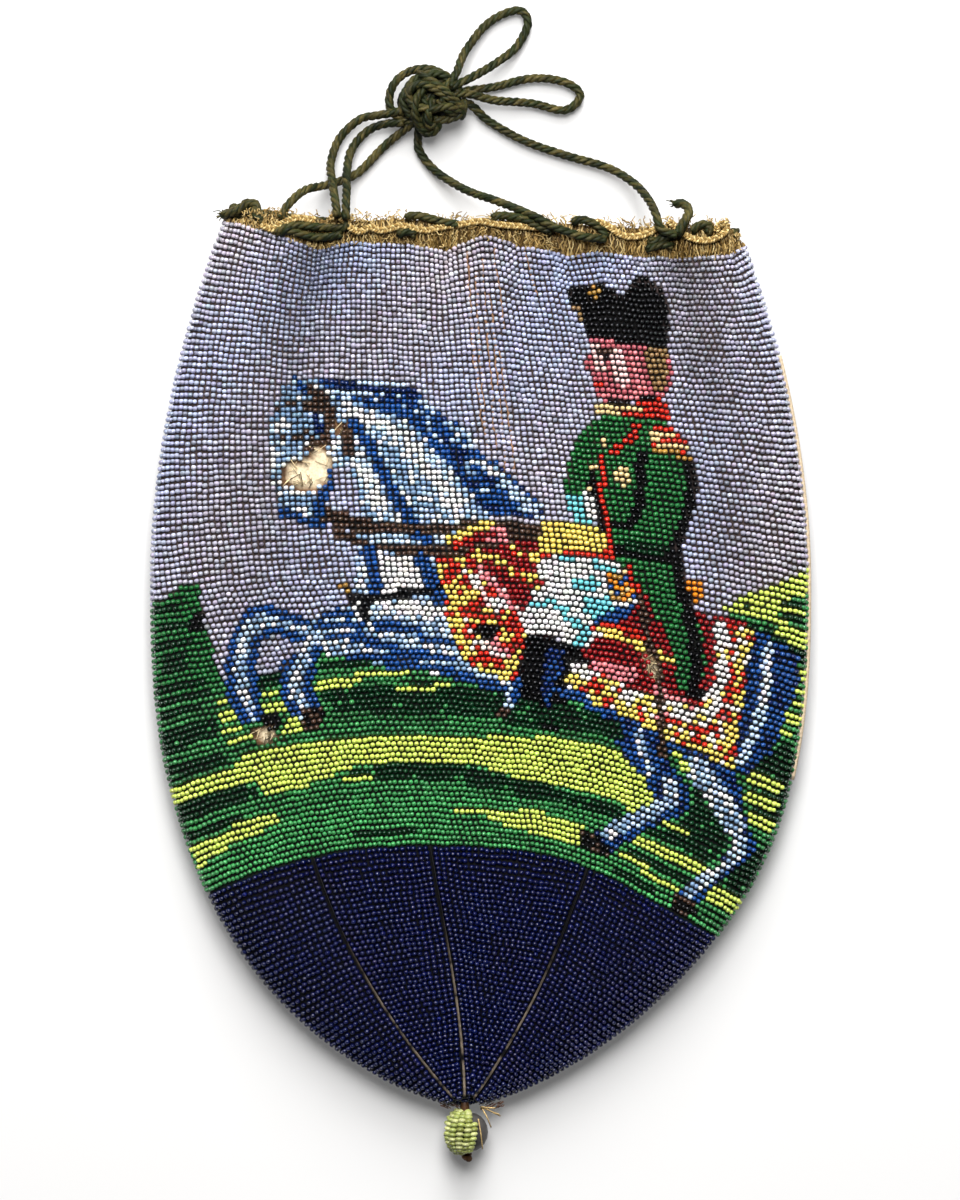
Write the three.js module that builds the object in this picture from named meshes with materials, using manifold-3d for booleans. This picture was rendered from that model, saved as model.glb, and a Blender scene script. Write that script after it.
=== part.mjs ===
// Beaded drawstring purse, lying on its back with the pictured front up.
// X runs across the purse, Y from the tip towards the mouth, Z up from the back that it lies on.
// The origin is on the flat of the back. All sizes are in millimetres.
import * as THREE from "three";
import { mergeVertices } from "three/addons/utils/BufferGeometryUtils.js";
import Module from "manifold-3d";

const wasm = await Module();
wasm.setup();

// Outline of the bag
const BODY_WIDTH = 155.6;
const MOUTH_WIDTH = 123.5;
const TIP_WIDTH = 6;
const WIDEST_Y = 14;
const MOUTH_LEFT_Y = 98.9;
const MOUTH_CENTRE_Y = 92.8;
const MOUTH_RIGHT_Y = 93.1;
const BASE_LEFT_Y = -59.5;
const BASE_CENTRE_Y = -48.4;
const BASE_RIGHT_Y = -69.8;
const TIP_Y = -109;
const TIP_SHIFT = -3.6;
const TIP_SHIFT_START_Y = -40;
const BASE_CENTRE_SHIFT = -5.2;
const SHOULDER_CURVE = 1.9;
const BASE_CURVE = 2.7;
const BASE_POINT = 1.4;

// Thickness of the filled bag
const MOUTH_THICKNESS = 14.5;
const BELLY_THICKNESS = 16.5;
const BASE_THICKNESS = 15;
const TIP_THICKNESS = 10;
const EDGE_HEIGHT = 5.5;
const CROWN_CURVE = 2.6;
const BACK_FLAT_SHARE = 0.72;

// Layers of the wall, with the clearance between pieces
const BEAD_LAYER = 1.4;
const LINING = 0.8;
const CLEARANCE = 0.3;
const LINING_GAP = 0.4;
const SEAM_WIDTH = 0.8;
const TIP_WALL_RATIO = 2.5;

// Beadwork chart: columns from the middle of the front, rows from the mouth
const CHART_SIDE_COLUMNS = 53.5;
const PICTURE_ROWS = 111;
const BASE_ROWS = 52;
const BELLY_ROW = 45;
const CENTRE_SHIFT_ROW = 70;
const BACK_HORIZON_ROW = 86;
const EDGE_CROWDING = 0.08;
const EDGE_CROWDING_CURVE = 6;
const CHART_OVERHANG = 4;

// Gathers that the drawn mouth leaves in the front
const FOLD_DEPTH = 2.2;
const FOLD_WIDTH = 0.12;
const FOLD_REACH_ROWS = 26;
const FOLD_PLACES = [-0.62, 0.76];

// Small pleats under the edging, all round the outer face of the beadwork
const PLEAT_DEPTH = 0.6;
const PLEAT_REACH_ROWS = 22;

// Gilt edging, a folded casing for the drawstrings
const EDGING_HEIGHT = 6;
const EDGING_WALL = 0.5;
const EDGING_CHANNEL = 3.4;
const EDGING_TOP = 0.6;
const SCALLOP_RISE = 0.5;
const SCALLOP_COUNT = 22;
const WINDOW_SILL = 0.8;
const WINDOW_HEAD = 0.5;
const WINDOWS = [[-0.72, -0.53], [-0.34, -0.07], [0.08, 0.46], [0.64, 0.78]];

// Silk cord
const CORD_DIAMETER = 2.2;
const CORD_SIDES = 8;
const CORD_STEP_DIAMETERS = 2.5;
const LOWER_RUN_RISE = 1.5;
const UPPER_RUN_RISE = 4;
const LOWER_RUN_BREAK = -0.5;
const UPPER_RUN_BREAK = 0.55;
const KNOT_CENTRE = [-12.6, 126.3, 5];
const KNOT_RADII = [9.4, 8.2, 4.9];

// Beaded drop under the tip
const DROP_CORE_RADIUS = 4;
const DROP_CORE_HALF_LENGTH = 5;
const DROP_BEAD_DIAMETER = 1.5;
const DROP_STRANDS = 7;
const DROP_FIRST_ANGLE = -25;
const DROP_STRAND_STEP = 33;
const DROP_STRAND_LATITUDES = [-60, -30, 0, 30, 60];
const DROP_NECK_RADIUS = 1.5;
const DROP_NECK_LENGTH = 1.2;
const DROP_END_RADIUS = 0.9;

// Facets
const FRONT_FACETS = 32;
const BACK_FACETS = 20;
const EDGE_SAMPLES = 240;
const PICTURE_RINGS = [0, 0.07, 0.16, 0.29, 0.47, 0.67, 0.85, 0.94];
const BASE_RINGS = [0, 0.13, 0.29, 0.44, 0.6, 0.73, 0.85, 0.94, 1];
const GORE_RINGS = [0, 0.3, 0.65, 0.87];
const ROUND_FACETS = 12;
const LATITUDE_FACETS = 8;
const RING_FACETS_PER_SCALLOP = 3;
const SHARPEST_MITER = 0.5;
const MERGE_TOLERANCE = 1e-4;

// The cord routes are drawn beside a mouth 123.5 wide, and move out with it
const ROUTE_STRETCH = MOUTH_WIDTH / 123.5;

const PRISM_TOP = 2 * BELLY_THICKNESS;
const SWEEP = 400;
const ROWS = PICTURE_ROWS + BASE_ROWS;
const WALL_RINGS = [
  ...PICTURE_RINGS.map((share) => share * PICTURE_ROWS),
  ...BASE_RINGS.map((share) => PICTURE_ROWS + share * BASE_ROWS),
];

// Colours of the glass, thread and cloth
const COLOURS = {
  lavender: 0x9a99ad,
  green: 0x1d5a33,
  darkGreen: 0x12351f,
  lightGreen: 0xa9b84a,
  hillGreen: 0x5f8a3a,
  navy: 0x151c3f,
  white: 0xd9dde2,
  blue: 0x1f4a8c,
  red: 0x8e1f1c,
  black: 0x101114,
  skin: 0xc98a8c,
  cream: 0xd8c6a2,
  gilt: 0xa08a58,
  silk: 0x3c4a2c,
  grey: 0x4a4744,
  brown: 0x4a3826,
};

const GLASS_ROUGHNESS = 0.25;
const SILK_ROUGHNESS = 0.6;
const CLOTH_ROUGHNESS = 0.9;

// The picture, in chart columns and rows, from the farthest field to the nearest
const PICTURE = [
  {
    name: "sky_front",
    colour: COLOURS.lavender,
    outline: [[-60, -3], [60, -3], [60, 70], [30, 84], [-30, 84], [-60, 84]],
  },
  {
    name: "meadow_upper",
    colour: COLOURS.green,
    outline: [[-60, 78], [-38, 77.5], [-30, 77], [-26, 73.5], [-20, 75], [0, 79], [20, 80], [24, 82.8],
      [26, 84.6], [28, 88.5], [31, 93], [20, 93], [-20, 93], [-60, 94.2]],
  },
  {
    name: "meadow_lower",
    colour: COLOURS.green,
    outline: [[-60, 94.2], [-20, 94], [20, 94.2], [32, 94.5], [30, 91], [27, 87], [26, 84.5], [42, 80],
      [60, 66], [60, PICTURE_ROWS], [-60, PICTURE_ROWS]],
  },
  {
    name: "light_meadow",
    colour: COLOURS.lightGreen,
    outline: [[-60, 93], [-40, 93.8], [-37, 90.8], [-25, 90.5], [-10, 91.2], [5, 91.2], [18, 90],
      [25, 90.2], [30, 92], [33, 96], [30, 99], [22, 97.3], [8, 97], [0, 95.5], [-18, 96.3], [-28, 99],
      [-35, 98.6], [-36, 96], [-60, 95.5]],
  },
  {
    name: "bush",
    colour: COLOURS.darkGreen,
    outline: [[-60, 65], [-49, 62.6], [-46, 60.8], [-43.2, 61.5], [-42.6, 67], [-41, 73], [-39.4, 78.4],
      [-60, 79]],
  },
  {
    name: "hill",
    colour: COLOURS.hillGreen,
    outline: [[35.5, 64], [40, 59.6], [47, 56], [60, 50], [60, 74], [50, 74], [44, 70]],
  },
  {
    name: "sky_under_foreleg",
    colour: COLOURS.lavender,
    outline: [[-34.6, 71.5], [-31, 70.2], [-26, 73.3], [-28, 75], [-30, 77.6], [-35.4, 78]],
  },
  {
    name: "horse_foreleg_raised",
    colour: COLOURS.white,
    outline: [[-25.2, 69.8], [-30, 68], [-33, 65.8], [-35.3, 67], [-37.5, 70.5], [-38.7, 75], [-38.7, 80],
      [-36.5, 86], [-33.5, 86], [-34.6, 81], [-35.2, 76], [-34, 71.5], [-31, 70.2], [-26, 73.3]],
  },
  {
    name: "horse_foreleg_lower",
    colour: COLOURS.white,
    outline: [[-26, 73.3], [-24.1, 74.8], [-25.5, 78], [-26, 82], [-25, 84.5], [-23.5, 86], [-26.5, 88.5],
      [-28, 86], [-30, 83], [-30, 77.6], [-28, 75]],
  },
  {
    name: "horse_body",
    colour: COLOURS.white,
    outline: [[-18, 53], [-2, 53], [-2, 73], [0, 77], [6, 79.4], [6, 82.2], [-3, 80.4], [-12, 78.7],
      [-20, 76.4], [-24.6, 75.2], [-26.4, 73.6], [-25.8, 69.6], [-20, 68.8], [-19, 64], [-18.5, 58]],
  },
  {
    name: "horse_head_and_neck",
    colour: COLOURS.white,
    outline: [[-30, 26], [-24, 26.8], [-17, 28], [-9, 31], [-4, 37], [0, 43], [3, 49], [-1, 52.6],
      [-17.6, 52.4], [-18, 50], [-19.5, 44], [-22, 41.5], [-23.6, 45], [-25, 52.5], [-30, 50.5],
      [-31.4, 46], [-33, 38], [-33, 32]],
  },
  {
    name: "horse_mane",
    colour: COLOURS.blue,
    outline: [[-26, 26.5], [-20, 25.8], [-12, 26.5], [-9.5, 28.5], [-6, 32], [-1, 35], [-1, 38],
      [3, 40.5], [7, 45], [10, 47.5], [9, 50], [1, 49.5], [-2.5, 44.5], [-5, 40], [-8, 36.5], [-11, 33],
      [-17, 30.5], [-23, 30]],
  },
  {
    name: "horse_hindquarter",
    colour: COLOURS.blue,
    outline: [[42.6, 62.5], [45, 62], [51, 65], [51.5, 68], [50, 73], [48.5, 78], [47, 83], [43.7, 86.2],
      [41.6, 85.6], [41, 79], [41.2, 73], [40.9, 68]],
  },
  {
    name: "horse_hind_leg_far",
    colour: COLOURS.white,
    outline: [[31, 86.2], [36, 85.4], [42, 86.8], [44, 90.5], [45.5, 94], [49, 95.8], [49.5, 98.3],
      [47.5, 101], [45, 105], [44, 108.4], [41, 108.4], [42, 105.8], [44, 102.3], [45.5, 99], [45.3, 97],
      [42, 94.5], [39, 92], [35, 89.2]],
  },
  {
    name: "horse_hind_leg_near",
    colour: COLOURS.white,
    outline: [[19.5, 83], [25, 83], [30, 86.5], [34.5, 92.5], [36, 95], [34, 97.3], [31, 100.3],
      [28.5, 104.5], [27.5, 107.8], [23, 106], [26, 103], [28.7, 99.3], [31, 94.5], [28, 92], [25, 89.2],
      [21.5, 86]],
  },
  {
    name: "saddle_cloth_front",
    colour: COLOURS.red,
    outline: [[-4.3, 53.6], [2, 51.2], [8.5, 51.2], [21, 50.6], [22.5, 56.5], [16, 62], [12, 68], [9, 75],
      [6.4, 79.8], [4.6, 79.6], [-1.8, 77], [-4.2, 73.5], [-3.2, 68], [-5.9, 64.5], [-4.6, 61.5],
      [-6.6, 57.5]],
  },
  {
    name: "saddle_cloth_rear",
    colour: COLOURS.red,
    outline: [[21, 58], [24, 57], [31, 61.5], [35, 62.6], [41, 62], [42.6, 64], [40.9, 68], [41.2, 73],
      [41, 79], [41.6, 85.6], [36, 84.6], [30, 84.8], [22, 82.3], [13, 80.5], [14, 74]],
  },
  {
    name: "rider_breeches",
    colour: COLOURS.white,
    outline: [[8, 58], [12, 56], [20.5, 55.5], [23.5, 58.5], [25, 62], [21, 67], [15.6, 72.6], [10, 70.9],
      [5.5, 70.7], [6, 66]],
  },
  {
    name: "rider_boot",
    colour: COLOURS.black,
    outline: [[5.6, 71], [10, 71.2], [15.6, 72.6], [17, 75], [16, 78.5], [14.6, 82.5], [13.5, 88],
      [6, 87.8], [6.6, 82], [5.9, 76]],
  },
  {
    name: "rider_coat",
    colour: COLOURS.green,
    outline: [[17, 32.3], [20.5, 29.2], [28.8, 28.6], [31, 33.3], [33, 36.5], [33.4, 43], [32.3, 48],
      [31.2, 53], [31, 58], [32.5, 62.5], [34.2, 68], [34.6, 73], [33.2, 76.5], [31.5, 75], [29.3, 69],
      [26.5, 64], [23.5, 58.5], [20.5, 55.5], [19.4, 50.5], [17, 48.6], [14, 47.8], [12.8, 44.5],
      [13.4, 39], [14.8, 35]],
  },
  {
    name: "rider_head",
    colour: COLOURS.skin,
    outline: [[18.5, 14.4], [22, 14.8], [26, 15.6], [31.5, 16.4], [31.5, 22], [30, 26], [28.6, 26.2],
      [25, 27.6], [20, 27.9], [18, 25], [17.4, 21]],
  },
  {
    name: "rider_collar",
    colour: COLOURS.red,
    outline: [[19, 28.3], [25, 27.6], [28.6, 26.2], [30, 27.8], [29.8, 30], [20, 30.4]],
  },
  {
    name: "rider_hat",
    colour: COLOURS.black,
    outline: [[16, 8], [18, 6.5], [22, 6.8], [24.5, 9], [26, 8.2], [29, 5.3], [32, 5.5], [34, 7.5],
      [34, 13], [32.6, 17.8], [29.5, 18.2], [25, 17.2], [21, 16], [17.5, 14.8], [17.5, 11.5], [16.2, 10]],
  },
];

// The back, plain sky over plain meadow
const BACK_PICTURE = [
  {
    name: "sky_back",
    colour: COLOURS.lavender,
    outline: [[-60, -3], [60, -3], [60, BACK_HORIZON_ROW], [-60, BACK_HORIZON_ROW]],
  },
  {
    name: "meadow_back",
    colour: COLOURS.green,
    outline: [[-60, BACK_HORIZON_ROW], [60, BACK_HORIZON_ROW], [60, PICTURE_ROWS], [-60, PICTURE_ROWS]],
  },
];

// Places where the beads are lost and the lining shows, as column, row and radius
const LOST_BEADS = [[-27.6, 42.6, 2.7], [-33, 88, 1.5], [26, 73, 1.6]];

// Seams between the gores of the base, as the column at its top and at the tip
const GORE_SEAMS = [
  [-CHART_SIDE_COLUMNS, -CHART_SIDE_COLUMNS],
  [-28.5, -28.5],
  [-5.5, 0],
  [25, 25],
  [CHART_SIDE_COLUMNS, CHART_SIDE_COLUMNS],
];

// Cord routes, from the knot down to the edging or round and back to the knot
const STRANDS = {
  cord_left_outer: [[-18, 124.5, 5], [-24, 123.6, 4], [-28.4, 122.7, 2.4], [-33.1, 118.4, 1.5],
    [-35.2, 112.3, 3.4], [-34.4, 106, 9.4], [-33.6, 103, 11.4]],
  cord_left_inner: [[-18, 121.8, 4.5], [-22.5, 121.6, 2.8], [-26.8, 119.9, 1.5], [-30.4, 115.4, 2.4],
    [-31.4, 109.3, 7], [-31, 106, 9.8], [-30.7, 102.6, 11.8]],
  cord_left_low: [[-15.5, 122, 4], [-19.5, 119, 2], [-23, 116.1, 1.2], [-29.1, 110, 1.6],
    [-35.5, 107.4, 3], [-41, 106.8, 7], [-44.6, 105.8, 9.8], [-45.4, 104.4, 10.6]],
  cord_centre: [[-14.3, 122, 4], [-14.6, 118.2, 1.8], [-14.3, 115.4, 1.2], [-10.6, 110.7, 1.6],
    [-3.5, 106, 5.2], [4.2, 102.8, 10.2], [7.6, 100.9, 12.4]],
  cord_right: [[-8, 127, 5], [-2.6, 126.4, 2.6], [2.1, 122.4, 1.2], [10.6, 117.7, 1.2], [20, 114.4, 1.2],
    [30.1, 111.4, 1.6], [36.2, 107.6, 4], [40.2, 103, 9.4], [40.8, 100.4, 11.4]],
  bow_loop_upper: [[-9, 129.5, 6.4], [-5.9, 132.8, 6], [-3.5, 138.7, 3], [2.1, 145.7, 1.2],
    [8.9, 148.6, 1.2], [11.3, 145.7, 1.2], [8.9, 140.3, 1.4], [4.4, 136.4, 3.2], [-1.6, 132.6, 5.6],
    [-7, 130, 7]],
  bow_loop_right: [[-9, 128, 2.6], [-3, 129.6, 1.7], [3, 130.4, 1.2], [12.2, 132.5, 1.2],
    [20, 131.6, 1.2], [23.7, 128.5, 1.2], [20, 125, 1.2], [12.2, 126.6, 1.3], [3.4, 127.2, 2.9],
    [-3, 128.6, 5.2], [-8, 128, 6]],
};
const CUT_ENDS = {
  cord_end_left: [[-50.2, 104.8, 9.4], [-51.6, 106.2, 8], [-54.4, 107, 5.8], [-57.6, 106.8, 3.4],
    [-60.4, 106.4, 1.8]],
  cord_end_right: [[47.4, 99.7, 9], [48.2, 102, 8], [47.6, 104.2, 5.6], [45.6, 105.2, 3]],
};

const purse = new THREE.Group();

// Shape of the bag

function smoothStep(share) {
  const t = Math.min(Math.max(share, 0), 1);
  return t * t * (3 - 2 * t);
}

function halfWidth(y) {
  const widest = BODY_WIDTH / 2;
  if (y > WIDEST_Y) {
    const mouthY = (MOUTH_LEFT_Y + MOUTH_RIGHT_Y) / 2;
    const share = (y - WIDEST_Y) / (mouthY - WIDEST_Y);
    return widest - (widest - MOUTH_WIDTH / 2) * share ** SHOULDER_CURVE;
  }
  const share = Math.min((WIDEST_Y - y) / (WIDEST_Y - TIP_Y), 1);
  const tip = TIP_WIDTH / 2;
  return tip + (widest - tip) * (1 - share ** BASE_CURVE) ** (1 / BASE_POINT);
}

function axisX(y) {
  return TIP_SHIFT * smoothStep((TIP_SHIFT_START_Y - y) / (TIP_SHIFT_START_Y - TIP_Y));
}

// Edge of the bag as points along its length, so that rows meet it at even spacing
function edgeLine(side, mouthY, baseY) {
  const points = [];
  const lengths = [0];
  for (let i = 0; i <= EDGE_SAMPLES; i++) {
    const y = mouthY + (TIP_Y - mouthY) * (1 - (1 - i / EDGE_SAMPLES) ** 2);
    points.push(new THREE.Vector2(axisX(y) + side * halfWidth(y), y));
    if (i > 0) {
      lengths.push(lengths[i - 1] + points[i].distanceTo(points[i - 1]));
    }
  }
  const baseIndex = points.findIndex((point) => point.y <= baseY);
  const baseLength = lengths[baseIndex];
  const fullLength = lengths[EDGE_SAMPLES];
  return (row) => {
    let length = (row / PICTURE_ROWS) * baseLength;
    if (row > PICTURE_ROWS) {
      length = baseLength + ((row - PICTURE_ROWS) / BASE_ROWS) * (fullLength - baseLength);
    }
    const found = lengths.findIndex((value) => value >= length);
    const i = found < 0 ? EDGE_SAMPLES : Math.max(found, 1);
    const share = (length - lengths[i - 1]) / (lengths[i] - lengths[i - 1]);
    return points[i - 1].clone().lerp(points[i], share);
  };
}

const leftEdge = edgeLine(-1, MOUTH_LEFT_Y, BASE_LEFT_Y);
const rightEdge = edgeLine(1, MOUTH_RIGHT_Y, BASE_RIGHT_Y);

function centreLine(row) {
  const shift = smoothStep((row - CENTRE_SHIFT_ROW) / (PICTURE_ROWS - CENTRE_SHIFT_ROW));
  let y = MOUTH_CENTRE_Y + ((BASE_CENTRE_Y - MOUTH_CENTRE_Y) * row) / PICTURE_ROWS;
  if (row > PICTURE_ROWS) {
    y = BASE_CENTRE_Y + ((TIP_Y - BASE_CENTRE_Y) * (row - PICTURE_ROWS)) / BASE_ROWS;
  }
  const tipShare = smoothStep((row - PICTURE_ROWS) / BASE_ROWS);
  return new THREE.Vector2(BASE_CENTRE_SHIFT * shift + (TIP_SHIFT - BASE_CENTRE_SHIFT) * tipShare, y);
}

// A row bows through the middle of the front; across runs from -1 at the left edge to 1 at the right
function rowPoint(across, row, inset = 0) {
  const left = leftEdge(row);
  const right = rightEdge(row);
  const centre = centreLine(row);
  const halfSpan = (right.x - left.x) / 2;
  const squeeze = 1 - inset / halfSpan;
  const bowX = (left.x + right.x) / 2 - centre.x;
  const bowY = (left.y + right.y) / 2 - centre.y;
  return new THREE.Vector2(
    centre.x + across * squeeze * halfSpan + across * across * bowX,
    centre.y + (across * (right.y - left.y)) / 2 + across * across * bowY,
  );
}

function crownHeight(row) {
  if (row < BELLY_ROW) {
    return MOUTH_THICKNESS + (BELLY_THICKNESS - MOUTH_THICKNESS) * smoothStep(row / BELLY_ROW);
  }
  if (row < PICTURE_ROWS) {
    const share = smoothStep((row - BELLY_ROW) / (PICTURE_ROWS - BELLY_ROW));
    return BELLY_THICKNESS + (BASE_THICKNESS - BELLY_THICKNESS) * share;
  }
  return BASE_THICKNESS + (TIP_THICKNESS - BASE_THICKNESS) * smoothStep((row - PICTURE_ROWS) / BASE_ROWS);
}

function foldDepth(across, row) {
  let depth = 0;
  for (const place of FOLD_PLACES) {
    depth += FOLD_DEPTH * Math.exp(-(((across - place) / FOLD_WIDTH) ** 2));
  }
  return depth * Math.exp(-Math.max(row, 0) / FOLD_REACH_ROWS) * (1 - across ** 8);
}

// A point of the bag's wall, depth millimetres inside its outer face
function bagPoint(across, row, depth, face) {
  const flat = rowPoint(across, row, depth);
  let z = 0;
  if (face === "front") {
    const crown = (1 - Math.abs(across) ** CROWN_CURVE) ** (1 / CROWN_CURVE);
    z = EDGE_HEIGHT + (crownHeight(row) - EDGE_HEIGHT - depth) * crown - foldDepth(across, row);
  } else {
    const past = Math.max(Math.abs(across) - BACK_FLAT_SHARE, 0) / (1 - BACK_FLAT_SHARE);
    z = EDGE_HEIGHT - (EDGE_HEIGHT - depth) * Math.sqrt(Math.max(1 - past * past, 0));
  }
  return new THREE.Vector3(flat.x, flat.y, z);
}

// Places round the bag: along the front from left to right, and back along the underside
function roundPlaces(frontFacets, backFacets) {
  const places = [];
  for (let i = 0; i < frontFacets; i++) {
    places.push({ across: Math.sin(Math.PI * (i / frontFacets - 0.5)), face: "front" });
  }
  for (let i = 0; i < backFacets; i++) {
    places.push({ across: -Math.sin(Math.PI * (i / backFacets - 0.5)), face: "back" });
  }
  return places;
}

// Solids

class Faces {
  constructor() {
    this.positions = [];
    this.triangles = [];
  }

  ring(points) {
    const first = this.positions.length / 3;
    for (const point of points) {
      this.positions.push(point.x, point.y, point.z);
    }
    return points.map((point, i) => first + i);
  }

  band(ringA, ringB) {
    const count = ringA.length;
    for (let i = 0; i < count; i++) {
      const next = (i + 1) % count;
      this.triangles.push(ringA[i], ringA[next], ringB[next]);
      this.triangles.push(ringA[i], ringB[next], ringB[i]);
    }
  }

  cap(ring, centre) {
    const [middle] = this.ring([centre]);
    for (let i = 0; i < ring.length; i++) {
      this.triangles.push(ring[i], ring[(i + 1) % ring.length], middle);
    }
  }

  // Turned inside out if the faces point in
  solid() {
    const geometry = new THREE.BufferGeometry();
    geometry.setAttribute("position", new THREE.Float32BufferAttribute(this.positions, 3));
    geometry.setIndex(this.triangles);
    if (signedVolume(geometry) < 0) {
      const index = geometry.getIndex();
      for (let i = 0; i < index.count; i += 3) {
        const kept = index.getX(i);
        index.setX(i, index.getX(i + 1));
        index.setX(i + 1, kept);
      }
    }
    return toManifold(geometry);
  }
}

function signedVolume(geometry) {
  const position = geometry.getAttribute("position");
  const index = geometry.getIndex();
  const corners = [new THREE.Vector3(), new THREE.Vector3(), new THREE.Vector3()];
  let volume = 0;
  for (let i = 0; i < index.count; i += 3) {
    corners.forEach((corner, k) => corner.fromBufferAttribute(position, index.getX(i + k)));
    volume += corners[0].dot(corners[1].cross(corners[2]));
  }
  return volume;
}

function toManifold(geometry) {
  const bare = geometry.clone();
  bare.deleteAttribute("normal");
  bare.deleteAttribute("uv");
  const merged = mergeVertices(bare, MERGE_TOLERANCE);
  return new wasm.Manifold(new wasm.Mesh({
    numProp: 3,
    vertProperties: new Float32Array(merged.getAttribute("position").array),
    triVerts: new Uint32Array(merged.getIndex().array),
  }));
}

function toGeometry(solid) {
  const mesh = solid.getMesh();
  const geometry = new THREE.BufferGeometry();
  geometry.setAttribute("position", new THREE.Float32BufferAttribute(mesh.vertProperties, 3));
  geometry.setIndex(new THREE.Uint32BufferAttribute(mesh.triVerts, 1));
  geometry.computeVertexNormals();
  return geometry;
}

function addPiece(name, geometry, colour, roughness, metalness = 0) {
  const material = new THREE.MeshStandardMaterial({ color: colour, roughness, metalness });
  const mesh = new THREE.Mesh(geometry, material);
  mesh.name = name;
  purse.add(mesh);
}

// Every other place round the mouth lies in a pleat
function pleatDepth(place, row) {
  return place % 2 === 0 ? 0 : PLEAT_DEPTH * Math.exp(-row / PLEAT_REACH_ROWS);
}

// Closed bag wall between two depths, open at the mouth
function bagWall(outerDepth, innerDepth) {
  const places = roundPlaces(FRONT_FACETS, BACK_FACETS);
  const faces = new Faces();
  const rims = [];
  for (const depth of [outerDepth, innerDepth]) {
    const rowScale = 1 - (depth * TIP_WALL_RATIO * BASE_ROWS) / (BASE_CENTRE_Y - TIP_Y) / ROWS;
    const loops = WALL_RINGS.map((row) => faces.ring(places.map((place, i) => {
      const pleat = depth === 0 ? pleatDepth(i, row) : 0;
      return bagPoint(place.across, row * rowScale, depth + pleat, place.face);
    })));
    const lastRow = ROWS * rowScale;
    const tip = bagPoint(0, lastRow, depth, "front").lerp(bagPoint(0, lastRow, depth, "back"), 0.5);
    const inward = depth === innerDepth;
    for (let i = 1; i < loops.length; i++) {
      if (inward) {
        faces.band(loops[i], loops[i - 1]);
      } else {
        faces.band(loops[i - 1], loops[i]);
      }
    }
    const lastLoop = loops[loops.length - 1];
    faces.cap(inward ? [...lastLoop].reverse() : lastLoop, tip);
    rims.push(loops[0]);
  }
  faces.band(rims[1], rims[0]);
  return faces.solid();
}

// Picture fields, cut from the beadwork through its thickness

// Columns crowd towards the rounded sides, seen from the front; past the sides they go straight on
function chartAcross(column) {
  const even = column / CHART_SIDE_COLUMNS;
  if (Math.abs(even) > 1) {
    return even;
  }
  return even * (1 + EDGE_CROWDING) - EDGE_CROWDING * even * Math.abs(even) ** EDGE_CROWDING_CURVE;
}

function chartPoint(column, row) {
  const across = chartAcross(column);
  if (row < 0) {
    return rowPoint(across, 0).add(new THREE.Vector2(0, -row));
  }
  if (row > ROWS) {
    return rowPoint(across, ROWS).add(new THREE.Vector2(0, ROWS - row));
  }
  return rowPoint(across, row);
}

// The outline moved out by some millimetres, with each corner along its bisector
function grow(points, amount) {
  const turn = THREE.ShapeUtils.area(points) < 0 ? -1 : 1;
  return points.map((point, i) => {
    const before = points[(i + points.length - 1) % points.length];
    const after = points[(i + 1) % points.length];
    const into = point.clone().sub(before).normalize();
    const out = after.clone().sub(point).normalize();
    const normal = new THREE.Vector2(into.y + out.y, -into.x - out.x).normalize();
    const miter = Math.max(normal.x * into.y - normal.y * into.x, SHARPEST_MITER);
    return point.clone().addScaledVector(normal, (turn * amount) / miter);
  });
}

function prism(points) {
  const shape = new THREE.Shape(points);
  const geometry = new THREE.ExtrudeGeometry(shape, { depth: PRISM_TOP, bevelEnabled: false });
  return toManifold(geometry).translate(0, 0, -CLEARANCE);
}

function lostBeadHole([column, row, radius]) {
  const centre = chartPoint(column, row);
  const hole = new THREE.CylinderGeometry(radius, radius, 2 * PRISM_TOP, ROUND_FACETS);
  hole.rotateX(Math.PI / 2).translate(centre.x, centre.y, 0);
  return toManifold(hole);
}

function slab(bottom, top) {
  const box = new THREE.BoxGeometry(SWEEP, SWEEP, top - bottom);
  return toManifold(box.translate(0, 0, (top + bottom) / 2));
}

function goreOutline(index) {
  const rows = [...GORE_RINGS.map((share) => PICTURE_ROWS + share * BASE_ROWS), ROWS + CHART_OVERHANG];
  const seam = ([top, tip], row) => top + (tip - top) * Math.min((row - PICTURE_ROWS) / BASE_ROWS, 1);
  const side = (line) => rows.map((row) => {
    const column = seam(line, row);
    const atEdge = Math.abs(column) >= CHART_SIDE_COLUMNS;
    return chartPoint(atEdge ? column + Math.sign(column) * CHART_OVERHANG : column, row);
  });
  return [...side(GORE_SEAMS[index]), ...side(GORE_SEAMS[index + 1]).reverse()];
}

function goreFields(face) {
  return GORE_SEAMS.slice(1).map((seam, i) => ({
    name: `base_gore_${face}_${i + 1}`,
    colour: COLOURS.navy,
    points: goreOutline(i),
    gap: SEAM_WIDTH,
  }));
}

function chartField({ name, colour, outline }) {
  const points = outline.map(([column, row]) => chartPoint(column, row));
  return { name, colour, points, gap: CLEARANCE };
}

// Each field takes what the fields over it leave, less the gap round them
function addFields(layer, fields) {
  let left = layer;
  for (const field of [...fields].reverse()) {
    addPiece(field.name, toGeometry(left.intersect(prism(field.points))), field.colour, GLASS_ROUGHNESS);
    left = left.subtract(prism(grow(field.points, field.gap)));
  }
}

function addBeadwork() {
  const wall = bagWall(0, BEAD_LAYER);
  let front = wall.intersect(slab(EDGE_HEIGHT + CLEARANCE / 2, PRISM_TOP));
  for (const place of LOST_BEADS) {
    front = front.subtract(lostBeadHole(place));
  }
  addFields(front, [...PICTURE.map(chartField), ...goreFields("front")]);
  const back = wall.intersect(slab(-CLEARANCE, EDGE_HEIGHT - CLEARANCE / 2));
  addFields(back, [...BACK_PICTURE.map(chartField), ...goreFields("back")]);
}

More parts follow.
